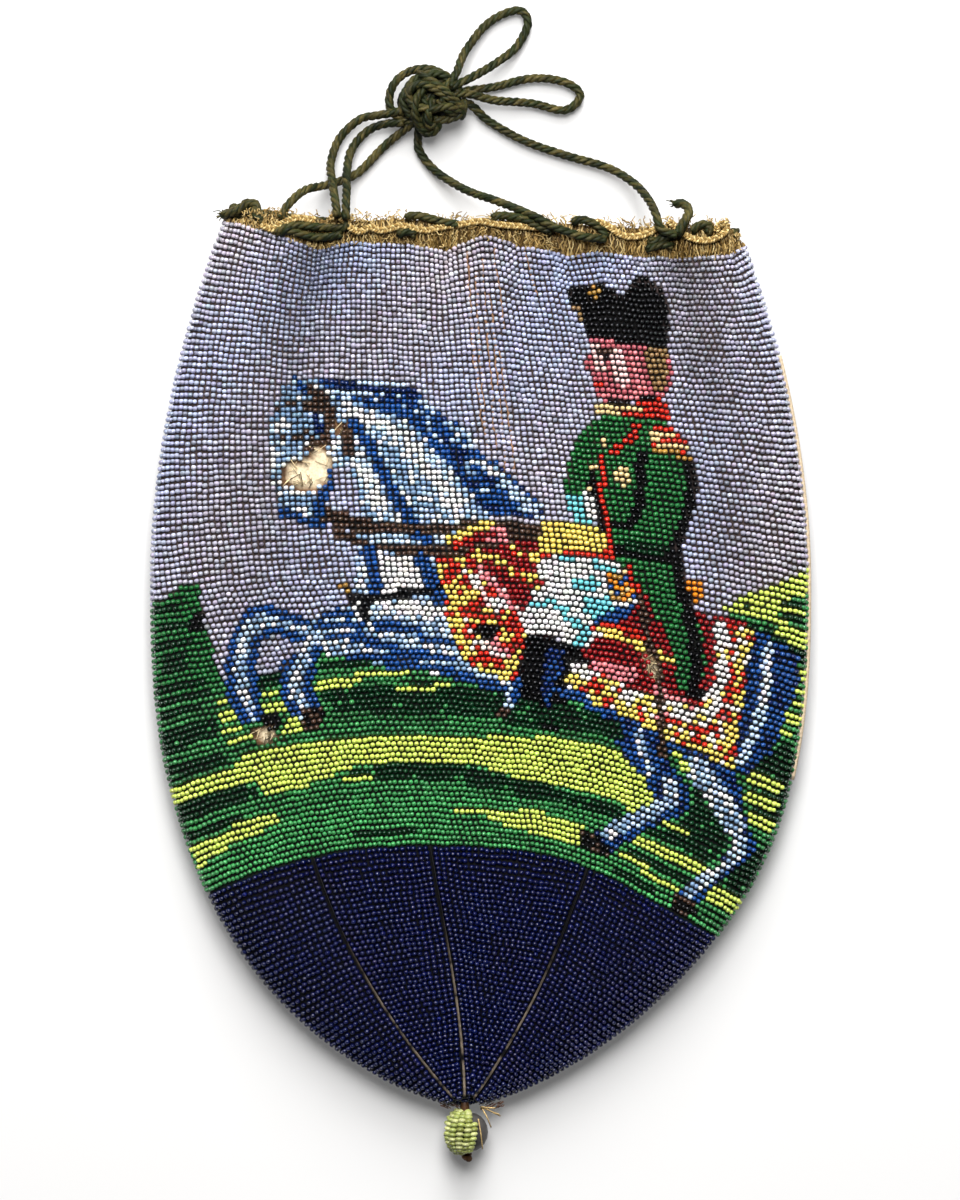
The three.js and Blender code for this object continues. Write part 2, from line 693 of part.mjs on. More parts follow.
function addLining() {
  const outer = BEAD_LAYER + LINING_GAP;
  addPiece("lining_bag", toGeometry(bagWall(outer, outer + LINING)), COLOURS.cream, CLOTH_ROUGHNESS);
}

// Gilt edging: a band folded over at the top, with the drawstrings in the channel between its walls

function aboveMouth(across, face, depth, rise) {
  return bagPoint(across, 0, depth, face).add(new THREE.Vector3(0, rise, 0));
}

function edgingWindow([from, to]) {
  const steps = Math.max(Math.ceil((to - from) / FOLD_WIDTH), 2);
  const faces = new Faces();
  const low = WINDOW_SILL;
  const high = EDGING_HEIGHT - EDGING_TOP - WINDOW_HEAD;
  const outside = -2 * CORD_DIAMETER;
  const inside = EDGING_WALL + EDGING_CHANNEL / 2;
  const sections = [];
  for (let i = 0; i <= steps; i++) {
    const across = from + ((to - from) * i) / steps;
    sections.push(faces.ring([
      aboveMouth(across, "front", outside, low),
      aboveMouth(across, "front", inside, low),
      aboveMouth(across, "front", inside, high),
      aboveMouth(across, "front", outside, high),
    ]));
  }
  for (let i = 1; i <= steps; i++) {
    faces.band(sections[i - 1], sections[i]);
  }
  const middle = (across) => aboveMouth(across, "front", (inside + outside) / 2, (low + high) / 2);
  faces.cap([...sections[0]].reverse(), middle(from));
  faces.cap(sections[steps], middle(to));
  return faces.solid();
}

function addEdging() {
  const facets = SCALLOP_COUNT * RING_FACETS_PER_SCALLOP;
  const frontFacets = Math.round(facets / 2);
  const places = roundPlaces(frontFacets, facets - frontFacets);
  const channelInside = EDGING_WALL + EDGING_CHANNEL;
  const full = channelInside + EDGING_WALL;
  const ceiling = EDGING_HEIGHT - EDGING_TOP;
  const section = [
    [0, CLEARANCE, 0],
    [0, EDGING_HEIGHT, 1],
    [full, EDGING_HEIGHT, 1],
    [full, CLEARANCE, 0],
    [channelInside, CLEARANCE, 0],
    [channelInside, ceiling, 0],
    [EDGING_WALL, ceiling, 0],
    [EDGING_WALL, CLEARANCE, 0],
  ];
  const faces = new Faces();
  const rings = section.map(([depth, rise, scalloped]) => faces.ring(places.map((place, i) => {
    const wave = Math.cos((2 * Math.PI * i) / RING_FACETS_PER_SCALLOP);
    return aboveMouth(place.across, place.face, depth, rise + scalloped * SCALLOP_RISE * wave);
  })));
  rings.forEach((ring, i) => faces.band(ring, rings[(i + 1) % rings.length]));
  let edging = faces.solid();
  for (const span of WINDOWS) {
    edging = edging.subtract(edgingWindow(span));
  }
  addPiece("gilt_edging", toGeometry(edging), COLOURS.gilt, 0.45, 0.6);
}

// Cords

function cordGeometry(curve, radius = CORD_DIAMETER / 2) {
  const circle = new THREE.Shape().absarc(0, 0, radius, 0, 2 * Math.PI);
  const section = new THREE.Shape(circle.getSpacedPoints(CORD_SIDES).slice(0, CORD_SIDES));
  const steps = Math.ceil(curve.getLength() / (2 * radius * CORD_STEP_DIAMETERS));
  return new THREE.ExtrudeGeometry(section, { steps, extrudePath: curve, bevelEnabled: false });
}

function route(points) {
  return new THREE.CatmullRomCurve3(points.map((point) => new THREE.Vector3(...point)));
}

function besideMouth([x, y, z]) {
  return [x * ROUTE_STRETCH, y, z];
}

function knotSolid(extra) {
  const ball = new THREE.SphereGeometry(1, ROUND_FACETS, LATITUDE_FACETS);
  const [x, y, z] = KNOT_RADII;
  return toManifold(ball.scale(x + extra, y + extra, z + extra).translate(...besideMouth(KNOT_CENTRE)));
}

// A drawstring goes once round the casing, with a short break where its two ends come out
function drawstringRun(rise, breakAt) {
  const places = roundPlaces(FRONT_FACETS, FRONT_FACETS);
  const start = places.findIndex((place) => place.face === "front" && place.across > breakAt);
  const ordered = [...places.slice(start), ...places.slice(0, start)].slice(0, -1);
  const middle = EDGING_WALL + EDGING_CHANNEL / 2;
  const faces = new Faces();
  const sections = ordered.map((place) => {
    const ring = [];
    for (let i = 0; i < CORD_SIDES; i++) {
      const angle = (2 * Math.PI * i) / CORD_SIDES;
      const depth = middle + (CORD_DIAMETER / 2) * Math.cos(angle);
      ring.push(aboveMouth(place.across, place.face, depth, rise + (CORD_DIAMETER / 2) * Math.sin(angle)));
    }
    return faces.ring(ring);
  });
  for (let i = 1; i < sections.length; i++) {
    faces.band(sections[i - 1], sections[i]);
  }
  const [first, last] = [ordered[0], ordered[ordered.length - 1]];
  faces.cap([...sections[0]].reverse(), aboveMouth(first.across, first.face, middle, rise));
  faces.cap(sections[sections.length - 1], aboveMouth(last.across, last.face, middle, rise));
  return toGeometry(faces.solid());
}

function addCords() {
  const lowerRun = drawstringRun(LOWER_RUN_RISE, LOWER_RUN_BREAK);
  const upperRun = drawstringRun(UPPER_RUN_RISE, UPPER_RUN_BREAK);
  addPiece("drawstring_run_lower", lowerRun, COLOURS.silk, SILK_ROUGHNESS);
  addPiece("drawstring_run_upper", upperRun, COLOURS.silk, SILK_ROUGHNESS);
  const aroundKnot = knotSolid(CLEARANCE);
  for (const [name, points] of Object.entries(STRANDS)) {
    const strand = toManifold(cordGeometry(route(points.map(besideMouth)))).subtract(aroundKnot);
    addPiece(name, toGeometry(strand), COLOURS.silk, SILK_ROUGHNESS);
  }
  for (const [name, points] of Object.entries(CUT_ENDS)) {
    addPiece(name, cordGeometry(route(points.map(besideMouth))), COLOURS.silk, SILK_ROUGHNESS);
  }
  addPiece("cord_knot", toGeometry(knotSolid(0)), COLOURS.silk, SILK_ROUGHNESS);
}

// Beaded drop

function addDrop() {
  const x = TIP_SHIFT;
  const z = DROP_CORE_RADIUS + CLEARANCE + DROP_BEAD_DIAMETER;
  const neckTop = TIP_Y - CLEARANCE;
  const neck = new THREE.CylinderGeometry(DROP_NECK_RADIUS, DROP_NECK_RADIUS, DROP_NECK_LENGTH, ROUND_FACETS);
  addPiece("drop_neck", neck.translate(x, neckTop - DROP_NECK_LENGTH / 2, z), COLOURS.cream, CLOTH_ROUGHNESS);
  const coreY = neckTop - DROP_NECK_LENGTH - CLEARANCE - DROP_CORE_HALF_LENGTH;
  const core = new THREE.SphereGeometry(1, ROUND_FACETS, LATITUDE_FACETS);
  core.scale(DROP_CORE_RADIUS, DROP_CORE_HALF_LENGTH, DROP_CORE_RADIUS).translate(x, coreY, z);
  addPiece("drop_core", core, COLOURS.grey, GLASS_ROUGHNESS);
  const reach = DROP_BEAD_DIAMETER / 2 + CLEARANCE;
  for (let i = 0; i < DROP_STRANDS; i++) {
    const angle = THREE.MathUtils.degToRad(DROP_FIRST_ANGLE + i * DROP_STRAND_STEP);
    const points = DROP_STRAND_LATITUDES.map((degrees) => {
      const latitude = THREE.MathUtils.degToRad(degrees);
      const out = (DROP_CORE_RADIUS + reach) * Math.cos(latitude);
      const along = (DROP_CORE_HALF_LENGTH + reach) * Math.sin(latitude);
      return [x - out * Math.sin(angle), coreY + along, z + out * Math.cos(angle)];
    });
    const strand = cordGeometry(route(points), DROP_BEAD_DIAMETER / 2);
    addPiece(`drop_strand_${i + 1}`, strand, COLOURS.lightGreen, GLASS_ROUGHNESS);
  }
  const end = new THREE.SphereGeometry(DROP_END_RADIUS, ROUND_FACETS, LATITUDE_FACETS);
  const endY = coreY - DROP_CORE_HALF_LENGTH - CLEARANCE - DROP_END_RADIUS;
  addPiece("drop_end_knot", end.translate(x, endY, z), COLOURS.brown, CLOTH_ROUGHNESS);
}

addLining();
addBeadwork();
addEdging();
addCords();
addDrop();

export default purse;
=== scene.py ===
import math

import bpy
import numpy as np
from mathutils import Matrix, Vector


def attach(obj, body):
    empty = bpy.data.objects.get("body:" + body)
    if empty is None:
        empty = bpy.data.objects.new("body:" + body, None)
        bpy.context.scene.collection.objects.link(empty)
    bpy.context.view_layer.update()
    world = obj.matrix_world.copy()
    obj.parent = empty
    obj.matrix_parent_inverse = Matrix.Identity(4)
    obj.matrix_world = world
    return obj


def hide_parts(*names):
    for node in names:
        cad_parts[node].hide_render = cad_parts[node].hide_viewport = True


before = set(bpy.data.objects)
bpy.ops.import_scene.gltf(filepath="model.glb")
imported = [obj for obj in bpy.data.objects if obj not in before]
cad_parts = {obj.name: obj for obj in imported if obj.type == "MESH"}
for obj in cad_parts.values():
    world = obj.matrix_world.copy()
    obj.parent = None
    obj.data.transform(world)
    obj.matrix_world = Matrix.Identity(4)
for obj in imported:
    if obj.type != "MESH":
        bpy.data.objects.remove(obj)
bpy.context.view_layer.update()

MM = 0.001
RNG = np.random.default_rng(11)

# Camera, straight above the purse
PIXEL, PIXEL_ORIGIN = 0.235, (480, 640)
FRAME_CENTRE = (0.0, 9.4)
FRAME_HEIGHT = 282.0
LENS = 200.0
SENSOR = 36.0
TRUE_SCALE_Z = 8.0

# Bag, as in the CAD source
BODY_WIDTH = 155.6
MOUTH_WIDTH = 123.5
TIP_WIDTH = 6.0
WIDEST_Y = 14.0
MOUTH_LEFT_Y, MOUTH_CENTRE_Y, MOUTH_RIGHT_Y = 98.9, 92.8, 93.1
BASE_LEFT_Y, BASE_CENTRE_Y, BASE_RIGHT_Y = -59.5, -48.4, -69.8
TIP_Y = -109.0
TIP_SHIFT, TIP_SHIFT_START_Y = -3.6, -40.0
BASE_CENTRE_SHIFT = -5.2
SHOULDER_CURVE, BASE_CURVE, BASE_POINT = 1.9, 2.7, 1.4
MOUTH_THICKNESS, BELLY_THICKNESS, BASE_THICKNESS, TIP_THICKNESS = 14.5, 16.5, 15.0, 10.0
EDGE_HEIGHT = 5.5
CROWN_CURVE = 2.6
BACK_FLAT_SHARE = 0.72
SIDE_COLUMNS = 53.5
PICTURE_ROWS, BASE_ROWS = 111, 52
ROWS = PICTURE_ROWS + BASE_ROWS
BELLY_ROW, CENTRE_SHIFT_ROW = 45, 70
EDGE_CROWDING, EDGE_CROWDING_CURVE = 0.08, 6
FOLD_DEPTH, FOLD_WIDTH, FOLD_REACH_ROWS = 2.2, 0.12, 26
FOLD_PLACES = (-0.62, 0.76)
PLEAT_DEPTH, PLEAT_REACH_ROWS, PLEAT_PLACES = 0.6, 22, 32
BACK_HORIZON_ROW = 86

# Edge of the beadwork under the edging: places across, and how far it strays from the smooth mouth
MOUTH_STRAY = (
    (-1, 0), (-0.85, -1.2), (-0.73, -2.4), (-0.63, -4.2), (-0.55, -2.6), (-0.49, -1.6), (-0.3, -1.1),
    (-0.2, -1.3), (-0.13, -2), (-0.09, -0.3), (0, 2), (0.05, 2.3), (0.1, 1.4), (0.14, 0), (0.27, -0.9),
    (0.34, -2.2), (0.45, -0.8), (0.58, -2.2), (0.69, -2.1), (0.73, -2.8), (0.87, -2.5), (0.945, -2.2),
    (1, 0),
)
STRAY_REACH_ROWS = 15
# Lower rows of the picture lie a little higher right of the middle
LIFT, LIFT_ROW, LIFT_FADE_ROWS, LIFT_PLACE, LIFT_WIDTH = 2.0, 80, 30, 0.42, 0.28
ROW_PITCH = 1.28

# Beads, and how far they stray: turn and lift in radians, place in millimetres, size as a share
BEADS_ACROSS = 118
BEAD_LENGTH, BEAD_WIDTH, BEAD_HEIGHT = 1.31, 1.19, 1.26
BEAD_DEPTH = 0.65
FULLEST_BEAD_SHARE = 0.97
TURN_STRAY, LIFT_STRAY, PLACE_STRAY, SIZE_STRAY = 0.13, 0.07, 0.06, 0.05
ROW_WAVE, ROW_WAVE_LENGTH, ROW_SWAY_LENGTH = 0.2, 9, 11
# Each row starts a little further along than the one above it, in beads
LEAN_ROW, UPPER_LEAN, LOWER_LEAN = 62, 0.14, 0.42
# Beads tilt more from the horse downwards, in degrees
TILT, MORE_TILT, TILT_ROW, TILT_ROWS = 7, 15, 55, 30
BACK_TILT, GORE_TILT = -8.0, -6.0
# Gores of the base: seams between them, and rows that run straight from seam to seam
SEAM_WIDTH = 0.9
GORE_PITCH, WIDEST_GORE_PITCH, LEAST_GORE_ROOM = 1.36, 1.5, 0.3
STRAIGHT_SHARE, STRAIGHT_ROWS = 0.85, 9

# Layers inside the beads, by depth
GROUND_DEPTH = 1.1
LINING_DEPTH, LINING_INNER_DEPTH = 1.9, 2.6

# Cords: each ply's radius as a share of the diameter, length of one turn, step along the route
CORD_DIAMETER = 2.2
PLY_SHARE, CORD_PITCH, CORD_STEP = 0.275, 5.3, 0.6
YARN_SHARE, YARN_PATCH = 0.65, 6


def smooth(share):
    t = np.clip(share, 0, 1)
    return t * t * (3 - 2 * t)


def distances(line):
    """Distance along a line at each of its points."""
    return np.concatenate([[0], np.cumsum(np.linalg.norm(np.diff(line, axis=0), axis=1))])


def half_width(y):
    widest = BODY_WIDTH / 2
    mouth_y = (MOUTH_LEFT_Y + MOUTH_RIGHT_Y) / 2
    up = np.clip((y - WIDEST_Y) / (mouth_y - WIDEST_Y), 0, None)
    upper = widest - (widest - MOUTH_WIDTH / 2) * up ** SHOULDER_CURVE
    down = np.clip((WIDEST_Y - y) / (WIDEST_Y - TIP_Y), 0, 1)
    tip = TIP_WIDTH / 2
    lower = tip + (widest - tip) * (1 - down ** BASE_CURVE) ** (1 / BASE_POINT)
    return np.where(y > WIDEST_Y, upper, lower)


def axis_x(y):
    return TIP_SHIFT * smooth((TIP_SHIFT_START_Y - y) / (TIP_SHIFT_START_Y - TIP_Y))


def edge_line(side, mouth_y, base_y):
    """The bag's edge as a function of row, with rows at even spacing along it."""
    t = np.linspace(0, 1, 1500)
    y = mouth_y + (TIP_Y - mouth_y) * (1 - (1 - t) ** 2)
    x = axis_x(y) + side * half_width(y)
    length = distances(np.stack([x, y], -1))
    base = np.interp(-base_y, -y, length)

    def at(row):
        picture = row / PICTURE_ROWS * base
        below = base + (row - PICTURE_ROWS) / BASE_ROWS * (length[-1] - base)
        along = np.where(row <= PICTURE_ROWS, picture, below)
        return np.interp(along, length, x), np.interp(along, length, y)

    return at


LEFT_EDGE = edge_line(-1, MOUTH_LEFT_Y, BASE_LEFT_Y)
RIGHT_EDGE = edge_line(1, MOUTH_RIGHT_Y, BASE_RIGHT_Y)


def centre_line(row):
    x = BASE_CENTRE_SHIFT * smooth((row - CENTRE_SHIFT_ROW) / (PICTURE_ROWS - CENTRE_SHIFT_ROW))
    x = x + (TIP_SHIFT - BASE_CENTRE_SHIFT) * smooth((row - PICTURE_ROWS) / BASE_ROWS)
    upper = MOUTH_CENTRE_Y + (BASE_CENTRE_Y - MOUTH_CENTRE_Y) * row / PICTURE_ROWS
    lower = BASE_CENTRE_Y + (TIP_Y - BASE_CENTRE_Y) * (row - PICTURE_ROWS) / BASE_ROWS
    return x, np.where(row <= PICTURE_ROWS, upper, lower)


def crown_height(row):
    upper = MOUTH_THICKNESS + (BELLY_THICKNESS - MOUTH_THICKNESS) * smooth(row / BELLY_ROW)
    share = smooth((row - BELLY_ROW) / (PICTURE_ROWS - BELLY_ROW))
    middle = BELLY_THICKNESS + (BASE_THICKNESS - BELLY_THICKNESS) * share
    lower = BASE_THICKNESS + (TIP_THICKNESS - BASE_THICKNESS) * smooth((row - PICTURE_ROWS) / BASE_ROWS)
    return np.where(row < BELLY_ROW, upper, np.where(row < PICTURE_ROWS, middle, lower))


def fold_depth(across, row):
    depth = 0
    for place in FOLD_PLACES:
        depth = depth + FOLD_DEPTH * np.exp(-(((across - place) / FOLD_WIDTH) ** 2))
    return depth * np.exp(-np.maximum(row, 0) / FOLD_REACH_ROWS) * (1 - across ** 8)


def pleat_depth(across, row):
    place = PLEAT_PLACES * (np.arcsin(np.clip(across, -1, 1)) / math.pi + 0.5)
    wave = 0.5 - 0.5 * np.cos(math.pi * place)
    return PLEAT_DEPTH * wave * np.exp(-np.maximum(row, 0) / PLEAT_REACH_ROWS)


def mouth_stray(across, row):
    places, strays = zip(*MOUTH_STRAY)
    return np.interp(across, places, strays) * np.exp(-np.maximum(row, 0) / STRAY_REACH_ROWS)


def row_lift(across, row):
    rise = smooth((row - LIFT_ROW) / (PICTURE_ROWS - LIFT_ROW))
    fade = 1 - smooth((row - PICTURE_ROWS) / LIFT_FADE_ROWS)
    return LIFT * rise * fade * np.exp(-(((across - LIFT_PLACE) / LIFT_WIDTH) ** 2))


def bag_point(across, row, depth=0.0, face="front"):
    """A point of the bag's wall, depth inside its outer face; across runs from -1 at the left edge to 1."""
    across, row = np.broadcast_arrays(np.asarray(across, float), np.asarray(row, float))
    left_x, left_y = LEFT_EDGE(row)
    right_x, right_y = RIGHT_EDGE(row)
    centre_x, centre_y = centre_line(row)
    half = (right_x - left_x) / 2
    squeeze = 1 - depth / half
    x = centre_x + across * squeeze * half + across ** 2 * ((left_x + right_x) / 2 - centre_x)
    y = centre_y + across * (right_y - left_y) / 2 + across ** 2 * ((left_y + right_y) / 2 - centre_y)
    if face == "front":
        crown = np.clip(1 - np.abs(across) ** CROWN_CURVE, 0, 1) ** (1 / CROWN_CURVE)
        dip = fold_depth(across, row) + pleat_depth(across, row)
        z = EDGE_HEIGHT + (crown_height(row) - EDGE_HEIGHT - depth) * crown - dip
        y = y + mouth_stray(across, row) + row_lift(across, row)
    else:
        past = np.clip(np.abs(across) - BACK_FLAT_SHARE, 0, None) / (1 - BACK_FLAT_SHARE)
        z = EDGE_HEIGHT - (EDGE_HEIGHT - depth) * np.sqrt(np.clip(1 - past ** 2, 0, 1))
    return np.stack([x, y, z], -1)


def unit(v):
    return v / np.maximum(np.linalg.norm(v, axis=-1, keepdims=True), 1e-9)


def bag_frame(across, row, face):
    """Directions along the row and out of the surface."""
    aside, off = 0.006, 0.4
    a0, a1 = np.clip(across - aside, -1, 1), np.clip(across + aside, -1, 1)
    along = unit(bag_point(a1, row, 0, face) - bag_point(a0, row, 0, face))
    r0, r1 = np.clip(row - off, 0, ROWS), np.clip(row + off, 0, ROWS)
    down = unit(bag_point(across, r1, 0, face) - bag_point(across, r0, 0, face))
    out = unit(np.cross(down, along))
    return along, -out if face == "back" else out


def chart_across(column):
    q = np.asarray(column, float) / SIDE_COLUMNS
    inside = q * (1 + EDGE_CROWDING) - EDGE_CROWDING * q * np.abs(q) ** EDGE_CROWDING_CURVE
    return np.where(np.abs(q) > 1, q, inside)


ACROSS_TABLE_Q = np.linspace(-1, 1, 801)
ACROSS_TABLE = chart_across(ACROSS_TABLE_Q * SIDE_COLUMNS)


def across_column(across):
    return np.interp(across, ACROSS_TABLE, ACROSS_TABLE_Q) * SIDE_COLUMNS


# Bead colours, as sRGB, with how much each bead strays from them
PALETTE = {
    "lavender": ((157, 158, 178), 0.13),
    "white": ((232, 230, 228), 0.06),
    "pale_blue": ((176, 198, 222), 0.10),
    "steel": ((114, 142, 172), 0.12),
    "blue": ((22, 64, 124), 0.16),
    "deep_blue": ((9, 30, 78), 0.16),
    "turquoise": ((104, 190, 200), 0.10),
    "green": ((50, 122, 66), 0.15),
    "coat_green": ((28, 92, 44), 0.15),
    "dark_green": ((7, 44, 20), 0.18),
    "light_green": ((192, 210, 94), 0.08),
    "yellow": ((228, 204, 96), 0.10),
    "gold": ((150, 112, 48), 0.18),
    "orange": ((208, 122, 26), 0.14),
    "red": ((184, 36, 22), 0.14),
    "maroon": ((128, 20, 22), 0.16),
    "pink": ((204, 118, 124), 0.12),
    "pale_pink": ((224, 188, 186), 0.08),
    "skin": ((162, 82, 90), 0.1),
    "cream": ((204, 180, 128), 0.10),
    "brown": ((66, 48, 38), 0.18),
    "hair": ((128, 100, 64), 0.2),
    "black": ((3, 3, 4), 0.20),
    "navy": ((3, 9, 53), 0.20),
}
NAMES = list(PALETTE)

# Mixed fields, in which beads of several colours lie side by side
MIXES = {
    "horse": (("white", 0.26), ("pale_blue", 0.36), ("steel", 0.38)),
    "horse_light": (("white", 0.74), ("pale_blue", 0.26)),
    "horse_blue": (("blue", 0.76), ("deep_blue", 0.24)),
    "mane": (("blue", 0.62), ("deep_blue", 0.2), ("pale_blue", 0.1), ("steel", 0.08)),
    "dark_meadow": (("dark_green", 0.94), ("green", 0.06)),
    "checks": (("gold", 0.3), ("orange", 0.25), ("blue", 0.25), ("cream", 0.2)),
    "gold_scatter": (("yellow", 0.5), ("red", 0.25), ("maroon", 0.25)),
    "border": (("yellow", 0.38), ("red", 0.36), ("white", 0.04), ("maroon", 0.22)),
    "rear_border": (("yellow", 0.42), ("white", 0.28), ("red", 0.22), ("pink", 0.08)),
    "red_scatter": (("red", 0.58), ("yellow", 0.26), ("white", 0.16)),
    "white_scatter": (("white", 0.74), ("yellow", 0.16), ("red", 0.1)),
    "yellow_scatter": (("yellow", 0.72), ("red", 0.2), ("white", 0.08)),
    "rose": (("pink", 0.7), ("pale_pink", 0.3)),
    "blush": (("white", 0.6), ("pale_pink", 0.4)),
    "hoof": (("brown", 0.65), ("black", 0.35)),
    "boot_blue": (("deep_blue", 0.55), ("blue", 0.3), ("black", 0.15)),
    "thread_brown": (("brown", 0.6), ("steel", 0.4)),
}

# Fields of the picture from the farthest to the nearest: CAD node, colour, outline in columns and rows
FIELDS = [
    ("sky_front", "lavender", [(-60, -3), (60, -3), (60, 70), (30, 84), (-30, 84), (-60, 84)]),
    ("meadow_upper", "green", [(-60, 78), (-38, 77.5), (-30, 77), (-26, 73.5), (-20, 75), (0, 79),
        (20, 80), (24, 82.8), (26, 84.6), (28, 88.5), (31, 93), (20, 93), (-20, 93), (-60, 94.2)]),
    ("meadow_lower", "green", [(-60, 94.2), (-20, 93), (20, 93), (32, 94.5), (30, 91), (27, 87),
        (26, 84.5), (42, 80), (60, 66), (60, 112), (-60, 112)]),
    ("light_meadow", "light_green", [(-60, 93), (-40, 93.8), (-37, 90.8), (-25, 90.5), (-10, 91),
        (5, 90.4), (15, 88.8), (24, 88.6), (30.4, 91), (32.4, 94), (29.4, 98.8), (22, 97.8), (8, 97.6),
        (0, 95.5), (-18, 96.3), (-28, 99), (-35, 98.6), (-36, 96), (-60, 95.5)]),
    ("bush", "coat_green", [(-60, 65), (-49, 62.6), (-46, 60.8), (-43.2, 61.5), (-42.6, 67), (-41, 73),
        (-39.4, 78.4), (-60, 79)]),
    ("hill", "green", [(35.5, 64), (40, 59.6), (47, 56), (60, 50), (60, 74), (50, 74), (44, 70)]),
    ("sky_under_foreleg", "lavender", [(-34.6, 71.5), (-31, 70.2), (-26, 73.3), (-28, 75), (-30, 77.6),
        (-35.4, 78)]),
    ("horse_foreleg_raised", "horse", [(-25.2, 69.8), (-30, 68), (-33, 65.8), (-35.3, 67), (-37.5, 70.5),
        (-38.7, 75), (-38.7, 80), (-36.5, 86), (-33.5, 86), (-34.6, 81), (-35.2, 76), (-34, 71.5),
        (-31, 70.2), (-26, 73.3)]),
    ("horse_foreleg_lower", "horse", [(-26, 73.3), (-24.1, 74.8), (-25.5, 78), (-26, 82), (-25, 84.5),
        (-23.5, 86), (-26.5, 88.5), (-28, 86), (-30, 83), (-30, 77.6), (-28, 75)]),
    ("horse_body", "horse", [(-18, 53), (-2, 53), (-2, 73), (0, 77), (6, 79.4), (6, 82.2), (-3, 80.4),
        (-12, 78.7), (-20, 76.4), (-24.6, 75.2), (-26.4, 73.6), (-25.8, 69.6), (-20, 68.8), (-19, 64),
        (-18.5, 58)]),
    ("horse_head_and_neck", "horse", [(-30, 26), (-24, 26.8), (-17, 28), (-9, 31), (-4, 37), (0, 43),
        (3, 49), (-1, 52.6), (-17.6, 52.4), (-18, 50), (-19.5, 44), (-22, 41.5), (-23.6, 45), (-25, 52.5),
        (-30, 50.5), (-31.4, 46), (-33, 38), (-33, 32)]),
    ("horse_mane", "mane", [(-26, 26.5), (-20, 25.8), (-12, 26.5), (-9.5, 28.5), (-6, 32), (-1, 35),
        (-1, 38), (3, 40.5), (7, 45), (10, 47.5), (9, 50), (1, 49.5), (-2.5, 44.5), (-5, 40), (-8, 36.5),
        (-11, 33), (-17, 30.5), (-23, 30)]),
    ("horse_hindquarter", "horse_blue", [(42.6, 62.5), (45, 62), (51, 65), (51.5, 68), (50, 73),
        (48.5, 78), (47, 83), (43.7, 86.2), (41.6, 85.6), (41, 79), (41.2, 73), (40.9, 68)]),
    ("horse_hind_leg_far", "horse_blue", [(32, 86.4), (36, 85), (42, 86.2), (45.4, 91.4), (47.6, 94),
        (50.2, 95.6), (50, 98.4), (48, 101.4), (46, 105), (45, 108.2), (40.6, 108.4), (42, 105.4),
        (44.4, 101.6), (45.8, 98.2), (44.8, 95.8), (42.4, 93.8), (38, 91.2), (34.6, 88.6)]),
    ("horse_hind_leg_near", "horse_blue", [(17.6, 80.2), (25, 82), (31, 83.4), (31, 87.8), (33.2, 89.6),
        (36, 92.5), (36.5, 95.5), (33, 98.6), (31, 101.6), (28.9, 105.2), (27.5, 107.6), (23.5, 105.6),
        (25, 103.6), (28.6, 99.6), (31.2, 95.6), (29.4, 93), (24.2, 89.2), (19.4, 84.6)]),
    ("saddle_cloth_front", "red", [(-4.3, 53.6), (2, 51.2), (8.5, 51.2), (21, 50.6), (22.5, 56.5),
        (16, 62), (12, 68), (9, 75), (6.4, 79.8), (4.6, 79.6), (-1.8, 77), (-4.2, 73.5), (-3.2, 68),
        (-5.9, 64.5), (-4.6, 61.5), (-6.6, 57.5)]),
    ("saddle_cloth_rear", "maroon", [(21, 58), (24, 57), (31, 61.5), (35, 62.6), (41, 62), (42.6, 64),
        (40.9, 68), (41.2, 73), (41, 79), (41.6, 85.6), (36, 84.6), (30, 84.2), (22, 81.6), (13, 79.8),
        (14, 74)]),
    ("rider_breeches", "white", [(8, 58), (12, 56), (20.5, 55.5), (23.5, 58.5), (25, 62), (21, 67),
        (15.6, 72.6), (10, 70.9), (5.5, 70.7), (6, 66)]),
    ("rider_boot", "black", [(5.6, 71), (10, 71.2), (15.6, 72.6), (17, 75), (16, 78.5), (14.6, 82.5),
        (13.5, 88), (6, 87.8), (6.6, 82), (5.9, 76)]),
    ("rider_coat", "coat_green", [(17, 32.3), (20.5, 29.2), (28.8, 28.6), (31, 33), (32.4, 36),
        (32.6, 42.5), (31.3, 48.5), (30, 52), (30, 56), (32.5, 62.5), (34.2, 68), (34.6, 73),
        (33.2, 76.5), (31.5, 75), (29.3, 69), (26.5, 64), (23.5, 58.5), (20.5, 55.5), (19.4, 50.5),
        (17, 48.6), (14, 47.8), (12.8, 44.5), (13.4, 39), (14.8, 35)]),
    ("rider_head", "skin", [(18.6, 14.4), (22, 14.8), (26, 15.6), (31.5, 16.4), (31.5, 22), (30, 26),
        (28.6, 26.2), (25, 27.6), (20, 27.9), (18.6, 26.4), (18.2, 24.6), (18.4, 23.2), (16.6, 22.3),
        (18.1, 19.6)]),
    ("rider_collar", "red", [(19, 28.3), (25, 27.6), (28.6, 26.2), (30, 27.8), (29.8, 30), (20, 30.4)]),
    ("rider_hat", "black", [(15.8, 8.3), (17, 7), (22, 6.3), (25, 9.3), (26.5, 7), (28.6, 5.5), (31, 5.8),
        (32.6, 7.5), (32.8, 11.5), (32, 15), (31.4, 18), (25.5, 17.6), (22.5, 16.6), (18.5, 16),
        (17.6, 13.5), (16, 11)]),
]

